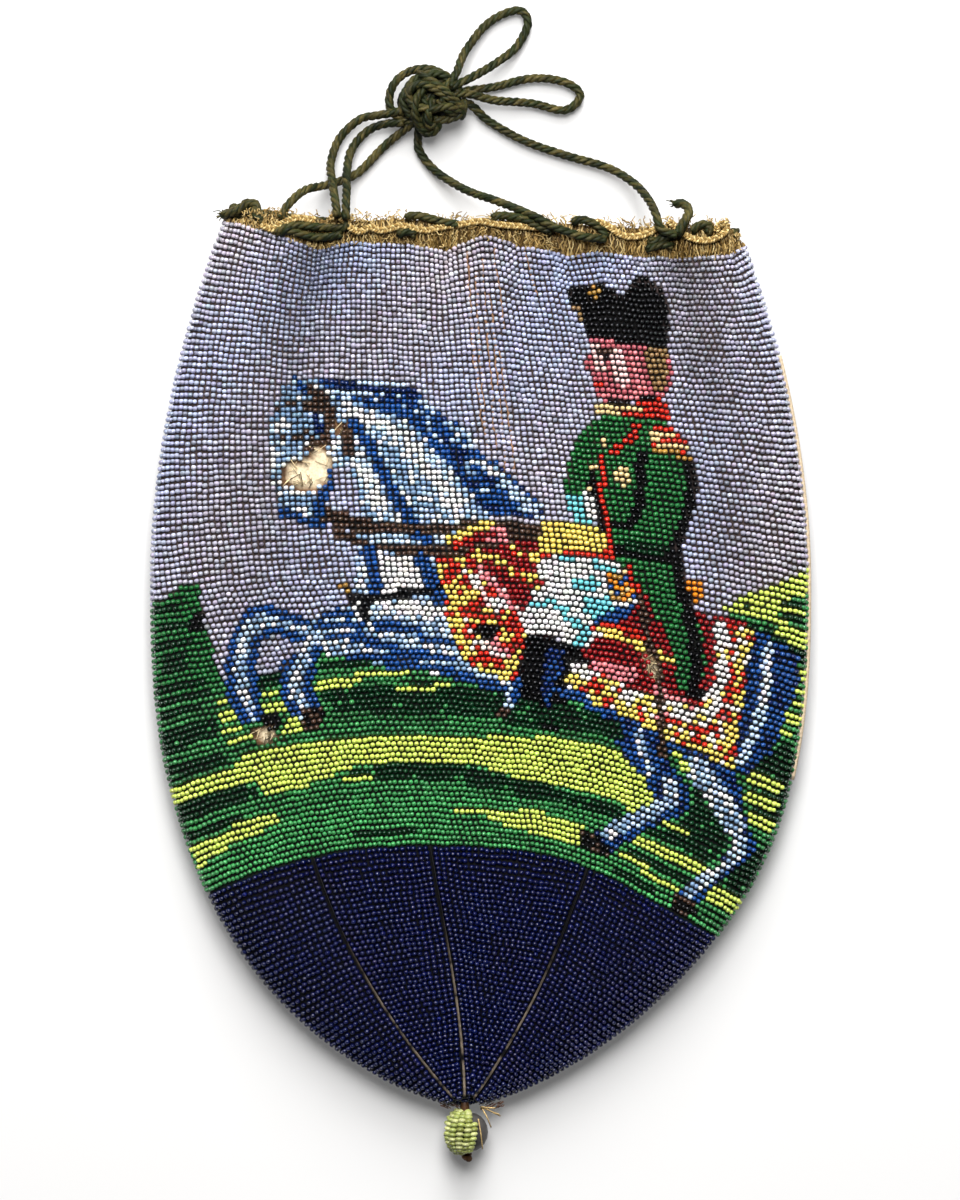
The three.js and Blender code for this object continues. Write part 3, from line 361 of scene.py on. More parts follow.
# Patches of colour inside the fields
PATCHES = [
    ("dark_meadow", [(-24, 82.2), (-8, 81.4), (8, 82.6), (22, 83.5), (24, 86.5), (10, 87.6), (-8, 87.2),
        (-22, 86)]),
    ("dark_meadow", [(-34, 78), (-30.4, 78), (-30.4, 80.4), (-34, 80.6)]),
    ("dark_meadow", [(-18, 96.6), (0, 96), (10, 98.2), (22, 98.8), (30, 100), (26, 101.5), (10, 100.6),
        (-4, 99), (-20, 98.6)]),
    ("dark_meadow", [(-53, 84), (-42, 83.5), (-41, 87), (-53, 88)]),
    ("dark_meadow", [(-53, 96.4), (-36.5, 96), (-36, 98.6), (-53, 99)]),
    ("dark_meadow", [(36.6, 90.6), (39, 91.5), (44, 95.4), (44.6, 98), (43, 101.8), (38, 101.5),
        (33, 100.6), (37, 96.5)]),
    ("dark_meadow", [(45, 84), (50, 79), (53, 80), (53, 92), (48, 93.6), (46, 90)]),
    ("dark_meadow", [(50, 96.6), (53, 95), (53, 104), (46.6, 103.8)]),
    ("black", [(-44.6, 66.4), (-42.4, 66), (-42, 69.4), (-45, 69.2)]),
    ("dark_green", [(-51, 72), (-46, 71.6), (-45.6, 74.6), (-51, 75)]),
    ("dark_green", [(47, 57.2), (52, 57.4), (52, 60), (47.5, 59.6)]),
    ("dark_meadow", [(40, 62.6), (46, 61.6), (53, 61.6), (53, 66), (44, 63)]),
    ("light_green", [(-53, 103), (-40, 102.4), (-33.5, 102.4), (-33, 104), (-40, 105), (-53, 107)]),
    ("light_green", [(4, 105), (12, 103.2), (20, 104), (25, 105), (26, 107), (20, 108.2), (10, 107.2)]),
    ("light_green", [(36.4, 60.8), (41, 57.4), (46.4, 54.6), (53.4, 51), (53.4, 53.6), (47, 57.4),
        (41, 60.6)]),
    # horse
    ("white", [(-15.2, 58.2), (-9.8, 58.2), (-8.4, 64.2), (-14.6, 64.8)]),
    ("horse_light", [(-16.6, 67), (-12, 66.4), (-4, 66.6), (-3, 69), (-12, 69.4), (-16.6, 69.2)]),
    ("lavender", [(-23.2, 45), (-21.6, 42.4), (-19.8, 42.6), (-18.6, 46), (-18.2, 50), (-23.4, 50)]),
    ("brown", [(-27.6, 27.6), (-25.6, 28), (-23.3, 31.2), (-22.3, 34.8), (-24, 36), (-25, 32.2),
        (-27, 30)]),
    # saddle cloth
    ("border", [(-6.6, 57), (-1, 55), (2, 60), (6, 68), (7, 74), (5, 79.6), (-2, 77), (-5, 70),
        (-6, 63)]),
    ("maroon", [(0, 52), (8.6, 51.5), (9, 55), (8.5, 60), (7.5, 66), (5, 65), (2.5, 61.5), (-0.5, 58),
        (-1.5, 55)]),
    ("yellow", [(8.8, 50.4), (13, 49.8), (18.6, 50.4), (18.8, 54.6), (12, 55.6), (9, 55.6)]),
    ("white", [(1.6, 65), (3.6, 64.8), (4.2, 67), (2.6, 67.8)]),
    ("blush", [(-0.6, 72.8), (2, 72.6), (4.6, 75.4), (2.5, 76.2), (0.4, 75)]),
    ("black", [(-0.6, 70.4), (3.4, 70.4), (2.6, 72.2), (0.8, 72.8), (-0.8, 72)]),
    ("pink", [(16.8, 73.6), (23.6, 74.2), (24.4, 77), (18, 76.4)]),
    ("rear_border", [(14, 77.6), (17, 75.6), (24, 78), (27, 77.6), (35, 79.4), (36, 72), (36.4, 63),
        (42, 62.6), (41, 70), (41.2, 85.4), (36, 84.6), (30, 84.2), (22, 81.6), (13.4, 79.8)]),
    ("black", [(32.2, 74.8), (35.2, 75), (34.6, 77.2), (31.8, 76.8)]),
    # rider
    ("turquoise", [(13.8, 60), (17, 59.4), (18.6, 61), (16, 62.2), (14, 61.6)]),
    ("turquoise", [(15.5, 63), (19.6, 62.4), (20.8, 65), (17, 67.2), (15.4, 65.6)]),
    ("blue", [(17.4, 66.4), (20.5, 64.2), (23.6, 63), (22.4, 65.6), (18.6, 69), (17, 69.2)]),
    ("checks", [(18.8, 58.4), (22.4, 57.2), (24.4, 61.6), (22.6, 63), (19.4, 62.6)]),
    ("boot_blue", [(10.4, 72.6), (13, 73), (13, 77), (12.2, 80), (11.6, 83.6), (10.4, 84), (10, 78)]),
    ("dark_green", [(20.6, 52.6), (29.4, 51.8), (29, 54), (20.8, 54)]),
    ("black", [(28, 53.4), (30.2, 52), (30.4, 56), (31, 60), (29.4, 58.4)]),
    ("red", [(26.6, 30.8), (30, 31.2), (32.2, 33.4), (32.3, 36), (26.6, 35)]),
    ("cream", [(20, 40), (21.6, 39), (23, 40), (23.4, 42), (22, 42.8), (20.6, 41.8)]),
    ("turquoise", [(13.2, 45), (15, 44.4), (15.6, 48.2), (16.6, 49.6), (15, 50.2), (13.6, 47.6)]),
    ("orange", [(30.6, 57.6), (31.6, 56.8), (33, 57), (33.7, 58.6), (33.5, 60.4), (32.4, 61),
        (31.2, 60.6)]),
    ("hair", [(27.6, 17.7), (31.2, 17.8), (30.8, 22), (29.6, 25.4), (28, 25.2), (27.4, 21.5)]),
    # hooves
    ("hoof", [(-27, 85.4), (-23.5, 84.6), (-22.8, 87), (-24.5, 88.8), (-27, 88.8)]),
    ("black", [(-33.4, 85.6), (-30.8, 84.6), (-30.3, 87), (-31.6, 88.6), (-33, 87.4)]),
    ("hoof", [(22, 104.4), (24.5, 105.2), (28.2, 107), (27.4, 108.6), (22.6, 107.4)]),
    ("hoof", [(40.4, 108.2), (44.6, 108.4), (46.4, 110), (43, 111.2), (40.4, 110)]),
    ("brown", [(4, 85.4), (5.9, 85.4), (5.9, 87.4), (4.2, 87.4)]),
]

# Streaks of light beads along single rows of the meadow: row, first column, last column
STREAKS = [
    (81, -26, -19), (80, -25, -18), (79, -18.6, -10.4), (82, -12.4, -6), (81, -6.4, -3.6),
    (81, -33.4, -30.4), (83, -33.8, -28.4), (84, -33, -28.6), (81, -41, -38.6), (83, -41, -37.4),
    (84, -40.6, -36.8), (86, -40.6, -36.8), (88, -39.4, -34.6), (86, -29.8, -28), (87, -30, -26.6),
    (88, -30, -26.8), (98, -21, -15), (104, -1, 6), (98, 33, 38.4), (102, 30, 43), (103, 30.4, 43.4),
    (106, 28.8, 35), (107, 33, 41), (85, 44.4, 52), (86, 43.6, 51.4), (88, 44.6, 52), (89, 44.4, 52),
    (91, 46.4, 52.4), (92, 46.8, 52.4), (104, 45.6, 53.5), (105, 45.6, 53.5), (106, 45.4, 53),
    (67, 49.4, 53.5), (68, 49, 53.5), (70, 49, 53.5), (72, 48.6, 53.5), (74, 48, 53.5), (75, 47.6, 53),
    (77, 47.4, 52), (53, 46, 53.5), (54, 45.4, 53), (55, 43.4, 52), (56, 41.6, 49), (57, 40, 47),
    (58, 38.4, 46.6), (60, 36.6, 49), (61, 46, 53), (58, 46.6, 53), (59, 41, 46.5), (62, 46, 53),
    (63, 45, 53), (93, -53, -37), (94, -53, -36.6),
]
DARK_STREAKS = [
    (79, -53, -42), (81, -53, -44), (90, -53, -41), (91, -50, -40), (101, -53, -39), (77, -24, -8),
    (64, -53, -47), (67, -52, -45), (70, -53, -44), (77, -53, -42), (109, 29, 37), (100, 31, 43),
    (94, 37, 44), (105, 30, 44), (108, -20, -8), (59, 38.4, 46), (62, 37, 45), (65, 45, 53),
]

# Lines of beads inside the fields: colour, width in beads, points
LINES = [
    # horse
    ("blue", 1.4, [(-26, 69.6), (-30, 68), (-33, 66.2), (-35.4, 67.2), (-37.4, 70.6), (-38.4, 75),
        (-38.4, 80), (-36.4, 85.4)]),
    ("blue", 1.4, [(-26.4, 72.8), (-31, 70.4), (-33.8, 71.8), (-35, 76), (-34.6, 81), (-33.6, 85)]),
    ("blue", 1.4, [(-28, 75.2), (-29.8, 78), (-29.8, 82.6), (-28, 85.6)]),
    ("blue", 1.4, [(-24.6, 75), (-25.8, 78), (-26.2, 82), (-25, 84.6)]),
    ("horse_light", 2.2, [(-21.4, 32.2), (-16, 33.2), (-13, 35.6)]),
    ("horse_light", 2.6, [(-13, 35.6), (-10, 38.6), (-7, 43), (-3.6, 48.4)]),
    ("horse_light", 2.4, [(-18.6, 40), (-16.8, 44.6), (-14.6, 50.4)]),
    ("blue", 1.8, [(-20.2, 33.8), (-17.8, 36.8), (-15.2, 42), (-12.8, 47.6), (-10.2, 52)]),
    ("steel", 1.4, [(-14.6, 38.4), (-11.6, 43.6), (-9.4, 49)]),
    ("blue", 1.2, [(-29.8, 26.4), (-28, 28.6)]),
    ("steel", 2.4, [(-31, 28.6), (-29, 33), (-28.4, 37)]),
    ("deep_blue", 1.6, [(-26, 33), (-25, 36)]),
    ("blue", 1.8, [(-23.6, 42.6), (-23.4, 46), (-24.6, 49), (-24, 52.6)]),
    ("blue", 1.4, [(-30, 50), (-25, 52)]),
    ("steel", 1.6, [(-30, 47.6), (-25.8, 48.4)]),
    ("thread_brown", 1.3, [(-32.4, 32.2), (-30, 31.2), (-26, 31.4)]),
    ("brown", 1.3, [(-22.4, 34.4), (-20.7, 35.8), (-20, 40)]),
    ("thread_brown", 1.2, [(-31, 36.8), (-27, 36.2), (-24, 36.6)]),
    ("brown", 1.5, [(-27, 38.6), (-25, 37.4), (-23.6, 37.2)]),
    ("pale_blue", 1.0, [(-21, 26.2), (-12.4, 26.9)]),
    ("pale_blue", 1.0, [(-23.4, 28.5), (-16, 29.2)]),
    ("pale_blue", 1.0, [(-10.4, 28.6), (-7.4, 31.4)]),
    ("deep_blue", 1.4, [(-24.6, 26.8), (-18, 27.7), (-10.6, 28)]),
    ("blue", 1.6, [(-17.6, 30.2), (-11, 32.6), (-8, 36), (-5, 39.6)]),
    ("horse", 1.6, [(-4.4, 34), (-1.4, 36)]),
    ("horse_light", 1.4, [(-0.6, 40.2), (3.6, 43)]),
    ("pale_blue", 1.2, [(3.4, 42.6), (6, 45.4)]),
    ("pale_blue", 1.1, [(4.4, 46), (9, 47.4)]),
    ("pale_blue", 1.1, [(6.6, 48), (9.4, 49.4)]),
    ("brown", 1.4, [(-23.2, 50.2), (-20, 51.2), (-17, 52)]),
    ("brown", 1.7, [(-23, 51.4), (-17, 53.4), (-5.2, 52.8), (1.2, 51.6), (8.8, 52)]),
    ("brown", 1.4, [(-21.6, 53.8), (-17.2, 55.8)]),
    ("brown", 1.4, [(-15.6, 56.6), (-9, 57.2), (-3.2, 57.2), (0.6, 55.6), (4, 54), (8.2, 52.8)]),
    ("blue", 1.6, [(-9.6, 54), (-7.6, 55)]),
    ("blue", 2.2, [(-16.8, 57), (-16, 60), (-15.8, 63.8)]),
    ("blue", 2.6, [(-9, 58.6), (-7.6, 61), (-6.2, 65.4)]),
    ("black", 1.4, [(-6, 60), (-5.6, 63.4)]),
    ("black", 1.4, [(-17.2, 66), (-12, 65.2), (-8, 64.4)]),
    ("black", 1.3, [(-17.4, 66), (-17.2, 70)]),
    ("black", 1.2, [(-19.4, 65.2), (-18.8, 66)]),
    ("gold", 1.0, [(-20.8, 63.4), (-19.6, 64.6)]),
    ("blue", 1.5, [(-24.4, 70.2), (-18, 70.8)]),
    ("blue", 1.5, [(-15.4, 71), (-9.4, 71.5)]),
    ("blue", 1.2, [(-23, 72.6), (-16, 73.2)]),
    ("blue", 1.2, [(-9, 73.1), (-4.4, 73.5)]),
    ("blue", 1.2, [(-17.4, 74.2), (-13, 74.5)]),
    ("blue", 1.4, [(-20, 76.2), (-14, 76.9)]),
    ("blue", 1.6, [(-13, 75.8), (-4.6, 76.6)]),
    ("blue", 1.4, [(-14, 78), (-4, 78.4)]),
    ("blue", 1.8, [(-4.4, 79.2), (5, 81.8)]),
    ("blue", 1.2, [(-24, 69), (-21, 68), (-19.6, 69)]),
    ("pale_blue", 1.2, [(5, 80), (5.6, 84.6)]),
    ("blue", 1.0, [(6.2, 79.6), (6.4, 84)]),
    ("horse_blue", 2.0, [(13.6, 80.6), (17, 81.6), (21, 82.8)]),
    ("pale_blue", 2.0, [(44.7, 65.4), (44.6, 70), (44.4, 75), (43.2, 81), (42.6, 84)]),
    ("white", 1.0, [(45, 67), (44.4, 75)]),
    ("horse_blue", 2.4, [(29.8, 85.4), (34, 86.2), (38, 87.4), (42, 88.4)]),
    ("horse", 1.4, [(26, 84.8), (27.4, 88), (29.2, 91.4)]),
    ("horse", 2.4, [(32.4, 92), (33.6, 94.4), (31.4, 97.4), (28.8, 100.6), (26.2, 103.8)]),
    ("horse", 3.9, [(35.6, 87.6), (38.8, 90), (42.8, 92.6), (45, 94.2)]),
    ("horse", 2.2, [(46.4, 95.4), (47.4, 97), (46.4, 100), (44.4, 103.6), (42.6, 107.2)]),
    # saddle cloth
    ("pink", 1.3, [(0, 52.6), (4.2, 53)]),
    ("pink", 1.2, [(1.4, 54.4), (4, 54.8)]),
    ("yellow", 1.6, [(-4.6, 54.8), (-2, 53.2), (1.6, 51.4)]),
    ("gold_scatter", 2.2, [(-1, 57), (3, 58.6), (6, 60.4), (8.8, 61.6)]),
    ("gold_scatter", 1.6, [(4, 55.6), (8.6, 57)]),
    ("rose", 1.8, [(0.4, 60.2), (2.8, 63), (5.4, 66.4)]),
    ("maroon", 1.6, [(2.4, 60.4), (4.6, 63.2), (6.4, 66)]),
    ("blush", 1.4, [(-1.2, 62), (0.6, 64.6), (2.6, 67.6)]),
    ("red_scatter", 1.9, [(-3.4, 59.6), (-3.6, 62.6), (-2.2, 66), (-2.4, 70), (-1.6, 73.4), (0.6, 76),
        (4, 77.6)]),
    ("yellow_scatter", 1.6, [(-5.6, 58.4), (-5.4, 62), (-3.9, 65), (-4.4, 69), (-3.4, 73), (-2, 76),
        (1, 78), (4.4, 79)]),
    ("red", 1.2, [(-4.4, 60), (-4.6, 62.6)]),
    ("pink", 1.2, [(2.4, 73), (4.8, 75.4)]),
    ("red", 1.3, [(17.4, 68.4), (21, 67.4), (24.4, 68.4)]),
    ("yellow", 1.5, [(18.4, 68.8), (22, 69.3), (26, 71), (30.4, 71.8), (32.6, 73.4)]),
    ("white_scatter", 2.2, [(14.6, 75.6), (17, 77.4), (20, 78), (24, 79.2)]),
    ("red_scatter", 1.6, [(14.4, 78.6), (19, 79.2), (23, 80.8)]),
    ("yellow_scatter", 2.0, [(18.4, 80.6), (23, 81.6), (28, 83.2)]),
    ("pink", 1.6, [(27.4, 76.8), (31, 78), (34.6, 79)]),
    ("red_scatter", 1.7, [(38.6, 64), (38.8, 70), (38.2, 77), (36, 81), (30.4, 81)]),
    ("white_scatter", 2.6, [(36.9, 64.4), (37.1, 70), (36.6, 76), (34.4, 80), (30.6, 79.6)]),
    ("yellow_scatter", 1.8, [(30, 83.6), (36, 84.4), (41, 85.4)]),
    ("yellow_scatter", 1.4, [(40.6, 63.6), (41, 66), (40.4, 70), (40.2, 76), (40.6, 84.6)]),
    ("brown", 1.2, [(24.2, 61.6), (25, 66), (26, 71), (27.5, 75), (28.3, 79), (29.3, 84), (30.2, 87.6)]),
    ("light_green", 1.1, [(32, 86.2), (33, 87), (34.2, 88.4)]),
    # rider
    ("turquoise", 1.0, [(12.2, 56.6), (14, 57)]),
    ("turquoise", 1.1, [(17, 57), (20.4, 58)]),
    ("turquoise", 1.1, [(7.6, 65.6), (11, 64.8), (13, 65.6)]),
    ("turquoise", 1.4, [(13, 67), (16, 69), (15, 71.6)]),
    ("red", 1.2, [(22.4, 57), (23.8, 60.6)]),
    ("coat_green", 3.2, [(25.4, 56.4), (28.4, 62), (30.6, 68), (32, 75)]),
    ("black", 1.9, [(30, 56), (31.4, 62.4), (33, 70), (33, 76)]),
    ("black", 1.7, [(24.8, 36.4), (24.6, 40), (24.3, 44), (23.4, 48), (22.2, 49.4), (20.6, 49.4)]),
    ("black", 1.7, [(32.2, 36.6), (32.2, 42.6), (30.8, 48.4), (29.2, 52)]),
    ("black", 1.2, [(20, 53.8), (24, 54.6), (28.6, 54)]),
    ("black", 1.4, [(17.3, 39.6), (17.2, 43), (17.8, 47), (18.2, 50)]),
    ("red", 1.1, [(24.6, 31.4), (23.6, 33.6), (22, 35.4), (20.2, 37)]),
    ("red", 1.2, [(18.5, 37.6), (19, 41.2), (18.3, 44.6), (19.2, 49.6), (19.6, 53.6)]),
    ("cream", 1.0, [(19, 34.8), (19.1, 35.4)]),
    ("cream", 1.0, [(17.5, 39.4), (17.6, 39.9)]),
    ("cream", 1.0, [(16.5, 43.6), (16.6, 44)]),
    ("cream", 1.0, [(26.6, 32.4), (31, 33.2)]),
    ("cream", 1.0, [(26.8, 34), (32, 34.8)]),
    ("gold", 1.0, [(26.8, 35.6), (32.2, 36.4)]),
    ("white", 1.4, [(15.9, 44.4), (16.5, 46.4), (17, 48.8)]),
    ("cream", 1.0, [(18.8, 28.5), (25, 28.3)]),
    ("cream", 1.0, [(18.8, 29.9), (22, 30)]),
    ("black", 1.1, [(21, 27.4), (27.4, 26.6)]),
    ("gold", 1.0, [(19.2, 8.4), (20.9, 8.4)]),
    ("gold", 1.0, [(20, 7.3), (20.1, 9.5)]),
    ("hair", 1.0, [(16.6, 11.2), (17.6, 13.4)]),
    # face, of plain proportions
    ("pale_pink", 1.6, [(19.4, 18.2), (19.6, 21.6)]),
    ("pale_pink", 2.4, [(22.6, 19.6), (23, 23.6)]),
    ("pink", 2.0, [(25.8, 19.4), (26.2, 25.6)]),
    ("pink", 1.2, [(20.4, 26.8), (25.4, 26.2)]),
    ("brown", 0.9, [(19.8, 18.4), (21.4, 18.4)]),
    ("black", 0.8, [(20.4, 20), (20.6, 20)]),
    ("red", 0.9, [(18.7, 24.9), (19.8, 24.9)]),
]

# Places where beads are lost, in columns and rows
LOST_PATCHES = [
    [(-30.2, 42.4), (-29, 41.2), (-27, 40.2), (-25.4, 38.2), (-24.2, 37.8), (-23, 40.8), (-23.2, 44.4),
        (-25.6, 46), (-28, 45.6), (-30.2, 45)],
    [(-35, 87.4), (-33.2, 86.6), (-31.8, 88), (-31.6, 89.6), (-33.4, 90.2), (-35, 89)],
    [(25.3, 71.4), (26.8, 71.6), (27.4, 74), (26.8, 75.2), (25.6, 73.6)],
    [(-22.7, 34.2), (-21.4, 34.2), (-21.2, 35.8), (-22.4, 36)],
]

# Column of each gore seam at the top of the base and at the tip
GORE_SEAMS = [(-53.5, -53.5), (-28.5, -28.5), (-5.5, 0.0), (25.0, 25.0), (53.5, 53.5)]

STREAKED = ("meadow_upper", "meadow_lower", "bush", "hill")
MEADOWS = [i for i, field in enumerate(FIELDS) if field[0] in STREAKED]

# Lots of beads of one tone strung along the grass, and how the grass grows lighter downwards
LOT_COUNT, LOT_TURNS = 200, 16
LOT_LENGTHS, LOT_STARTS, LOT_ROWS, LOT_WAVE = (9, 24), (0, 30), 1.7, 0.8
LOT_TONES, LOT_SHARES = (0.62, 0.85, 1.0, 1.1), (0.14, 0.26, 0.4, 0.2)
OUTER_COLUMN = 60
GRASS_ROWS, GRASS_TONES = (76, 90, 98, 106), (0.82, 0.85, 1.0, 1.2)
# Grass has these tones below the first of the rows, and on the hill, which lies beyond this column
GRASS_COLUMN = 35
# Sky beads: warm and pale shifts in soft clouds, and shares and tints of odd dark and pale beads
WARM_SHIFT, COOL_SHIFT, PALE_SHIFT = 0.10, 0.12, 0.10
DARK_SHARE, DARK_TINT, PALE_SHARE, PALE_TINT = 0.05, 0.6, 0.07, 1.35
HUE_STRAY = 0.03
# Share by which beads at the bottom of a fold are darkened, as painted shade
FOLD_SHADE = 0.75


def linear(rgb):
    c = np.asarray(rgb, float) / 255
    return np.where(c <= 0.04045, c / 12.92, ((c + 0.055) / 1.055) ** 2.4)


# Colours of threads and cloth
THREAD = {name: linear(rgb) for name, rgb in {
    "ground": (74, 58, 50), "bare": (230, 212, 178), "torn": (104, 76, 52), "lining": (214, 196, 160),
    "seam_tan": (120, 108, 94), "seam_dark": (12, 11, 12), "tan": (132, 100, 76), "cream": (226, 204, 160),
    "tape": (186, 168, 142), "core": (70, 68, 66), "brown": (92, 62, 36), "straw": (196, 168, 116),
    "frayed": (122, 90, 74),
}.items()}


def inside(points, x, y):
    """Which places lie inside an outline."""
    hit = np.zeros(x.shape, bool)
    for (x0, y0), (x1, y1) in zip(points, points[1:] + points[:1]):
        if y0 != y1:
            cross = (y0 > y) != (y1 > y)
            hit ^= cross & (x < (x1 - x0) * (y - y0) / (y1 - y0) + x0)
    return hit


def near(points, width, x, y):
    """Which places lie within half a width of a line."""
    hit = np.zeros(x.shape, bool)
    for (x0, y0), (x1, y1) in zip(points, points[1:]):
        length = (x1 - x0) ** 2 + (y1 - y0) ** 2
        t = np.clip(((x - x0) * (x1 - x0) + (y - y0) * (y1 - y0)) / length, 0, 1)
        hit |= (x - x0 - t * (x1 - x0)) ** 2 + (y - y0 - t * (y1 - y0)) ** 2 < (width / 2) ** 2
    return hit


def choose(colour, count):
    """Palette numbers for some beads of one colour or mix."""
    if colour in PALETTE:
        return np.full(count, NAMES.index(colour))
    names, shares = zip(*MIXES[colour])
    return RNG.choice([NAMES.index(n) for n in names], count, p=shares)


def clouds(x, y, size, seed):
    """Soft irregular waves between -1 and 1."""
    rng = np.random.default_rng(seed)
    total = 0
    for _ in range(6):
        angle, phase = rng.uniform(0, 2 * math.pi, 2)
        pitch = size * rng.uniform(0.6, 1.6)
        total = total + np.sin((x * math.cos(angle) + y * math.sin(angle)) * 2 * math.pi / pitch + phase)
    return total / 3.2


def paint_front(column, row):
    """Field number and colour number of each front bead."""
    field = np.zeros(column.shape, int)
    colour = np.zeros(column.shape, int)
    for i, (_, name, outline) in enumerate(FIELDS):
        hit = inside(outline, column, row)
        field[hit] = i
        colour[hit] = choose(name, hit.sum())
    for name, outline in PATCHES:
        hit = inside(outline, column, row)
        colour[hit] = choose(name, hit.sum())
    for name, streaks in (("dark_green", DARK_STREAKS), ("light_green", STREAKS)):
        for line, first, last in streaks:
            hit = (np.floor(row) == line) & (column > first) & (column < last) & np.isin(field, MEADOWS)
            colour[hit] = NAMES.index(name)
    for name, width, points in LINES:
        hit = near(points, width, column, row)
        colour[hit] = choose(name, hit.sum())
    return field, colour


def row_tones(column, row):
    """Tone that changes from stretch to stretch along each row, as strung lots of beads do."""
    rng = np.random.default_rng(7)
    lengths, starts = rng.uniform(*LOT_LENGTHS, LOT_COUNT), rng.uniform(*LOT_STARTS, LOT_COUNT)
    tones = rng.choice(LOT_TONES, (LOT_COUNT, LOT_TURNS), p=LOT_SHARES)
    line = ((row + LOT_WAVE * clouds(column, row, 40, 8)) / LOT_ROWS).astype(int)
    return tones[line, ((column + OUTER_COLUMN + starts[line]) / lengths[line]).astype(int) % LOT_TURNS]


def palette_colours(colour):
    return np.array([linear(PALETTE[n][0]) for n in NAMES])[colour]


def bead_colours(colour, column, row):
    """Colour of each bead, with the stray of its glass and the soft shifts of the sky."""
    stray = np.array([PALETTE[n][1] for n in NAMES])[colour]
    rgb = palette_colours(colour) * np.exp(RNG.normal(0, 1, colour.shape) * stray)[:, None]
    rgb *= np.exp(RNG.normal(0, HUE_STRAY, rgb.shape))
    sky = colour == NAMES.index("lavender")
    warm = clouds(column, row, 34, 3)
    pale = clouds(column, row, 22, 5)
    shift = np.stack([1 + WARM_SHIFT * warm, np.ones_like(warm), 1 - COOL_SHIFT * warm], -1)
    odd = RNG.random(colour.shape)
    tint = np.where(odd < DARK_SHARE, DARK_TINT, np.where(odd > 1 - PALE_SHARE, PALE_TINT, 1.0))
    rgb = np.where(sky[:, None], rgb * shift * (tint * (1 + PALE_SHIFT * pale))[:, None], rgb)
    grass = (colour == NAMES.index("green")) & ((row > GRASS_ROWS[0]) | (np.abs(column) > GRASS_COLUMN))
    tone = row_tones(column, row) * np.interp(row, GRASS_ROWS, GRASS_TONES)
    return np.where(grass[:, None], rgb * tone[:, None], rgb)


# Mesh helpers

def new_piece(name, verts, faces, colours, uv, material, replaces=()):
    """One piece of the object, from arrays in millimetres."""
    mesh = bpy.data.meshes.new(name)
    count, sides = faces.shape
    mesh.vertices.add(len(verts))
    mesh.vertices.foreach_set("co", (verts * MM).astype(np.float32).ravel())
    mesh.loops.add(count * sides)
    mesh.loops.foreach_set("vertex_index", faces.astype(np.int32).ravel())
    mesh.polygons.add(count)
    mesh.polygons.foreach_set("loop_start", np.arange(0, count * sides, sides, dtype=np.int32))
    mesh.update(calc_edges=True)
    mesh.polygons.foreach_set("use_smooth", np.ones(count, bool))
    shade = mesh.color_attributes.new("Col", "FLOAT_COLOR", "POINT")
    rgba = np.concatenate([colours, np.ones((len(verts), 1))], 1)
    shade.data.foreach_set("color", rgba.astype(np.float32).ravel())
    layer = mesh.uv_layers.new(name="OFBake")
    layer.data.foreach_set("uv", uv.astype(np.float32).ravel())
    mesh.materials.append(material)
    piece = bpy.data.objects.new(name, mesh)
    bpy.context.scene.collection.objects.link(piece)
    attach(piece, "root")
    if replaces:
        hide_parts(*replaces)
    return piece


def cells(count):
    """Lower corners and size of a square grid of texture cells, one for each part."""
    side = math.ceil(math.sqrt(count))
    index = np.arange(count)
    return np.stack([index % side, index // side], -1) / side, 1 / side


def dome_bead():
    """Bead with a finely rounded top and a plain underside, within a unit box."""
    long, wide = 0.79, 0.76
    ring = [(1, 0), (long, wide), (0, 1), (-long, wide), (-1, 0), (-long, -wide), (0, -1), (long, -wide)]
    rim, shoulder, shoulder_height, foot = -0.1, 0.76, 0.66, -0.8
    verts = [(x, y, rim) for x, y in ring]
    verts += [(shoulder * x, shoulder * y, shoulder_height) for x, y in ring]
    verts += [(0, 0, 1), (0, 0, foot)]
    faces = []
    for i in range(8):
        j = (i + 1) % 8
        faces += [(i, j, 8 + j), (i, 8 + j, 8 + i), (8 + i, 8 + j, 16), (j, i, 17)]
    return np.array(verts, float), np.array(faces)


def plain_bead():
    """Coarser bead for the back."""
    rim, foot = 0.15, -0.9
    ring = [(1, 0), (0.5, 0.87), (-0.5, 0.87), (-1, 0), (-0.5, -0.87), (0.5, -0.87)]
    verts = [(x, y, rim) for x, y in ring] + [(0, 0, 1), (0, 0, foot)]
    faces = []
    for i in range(6):
        j = (i + 1) % 6
        faces += [(i, j, 6), (j, i, 7)]
    return np.array(verts, float), np.array(faces)


def bead_piece(name, template, beads, material, replaces):
    """All the beads of one field as one piece."""
    shape, faces = template
    count = len(beads["centre"])
    local = shape[None] * beads["size"][:, None, :] / 2
    verts = beads["centre"][:, None, :] + np.einsum("nvk,nkd->nvd", local, beads["axes"])
    index = faces[None] + (np.arange(count) * len(shape))[:, None, None]
    corner, size = cells(count)
    flat = (shape[:, :2] * 0.4 + 0.5)[faces.ravel()]
    uv = corner[:, None, :] + flat[None] * size
    colours = np.repeat(beads["colour"], len(shape), 0)
    return new_piece(name, verts.reshape(-1, 3), index.reshape(-1, 3), colours, uv.reshape(-1, 2),
                     material, replaces)


def spline(points, step):
    """Points along a smooth line through the given ones, at about even steps."""
    p = np.asarray(points, float)
    p = np.concatenate([[2 * p[0] - p[1]], p, [2 * p[-1] - p[-2]]])
    t = np.linspace(0, 1, 40, endpoint=False)[:, None]
    out = []
    for a, b, c, d in zip(p, p[1:], p[2:], p[3:]):
        out.append(0.5 * (2 * b + (c - a) * t + (2 * a - 5 * b + 4 * c - d) * t ** 2
                          + (3 * b - a - 3 * c + d) * t ** 3))
    line = np.concatenate(out + [p[-2:-1]])
    length = distances(line)
    count = max(int(length[-1] / step), 3) + 1
    at = np.linspace(0, length[-1], count)
    return np.stack([np.interp(at, length, line[:, k]) for k in range(3)], -1)


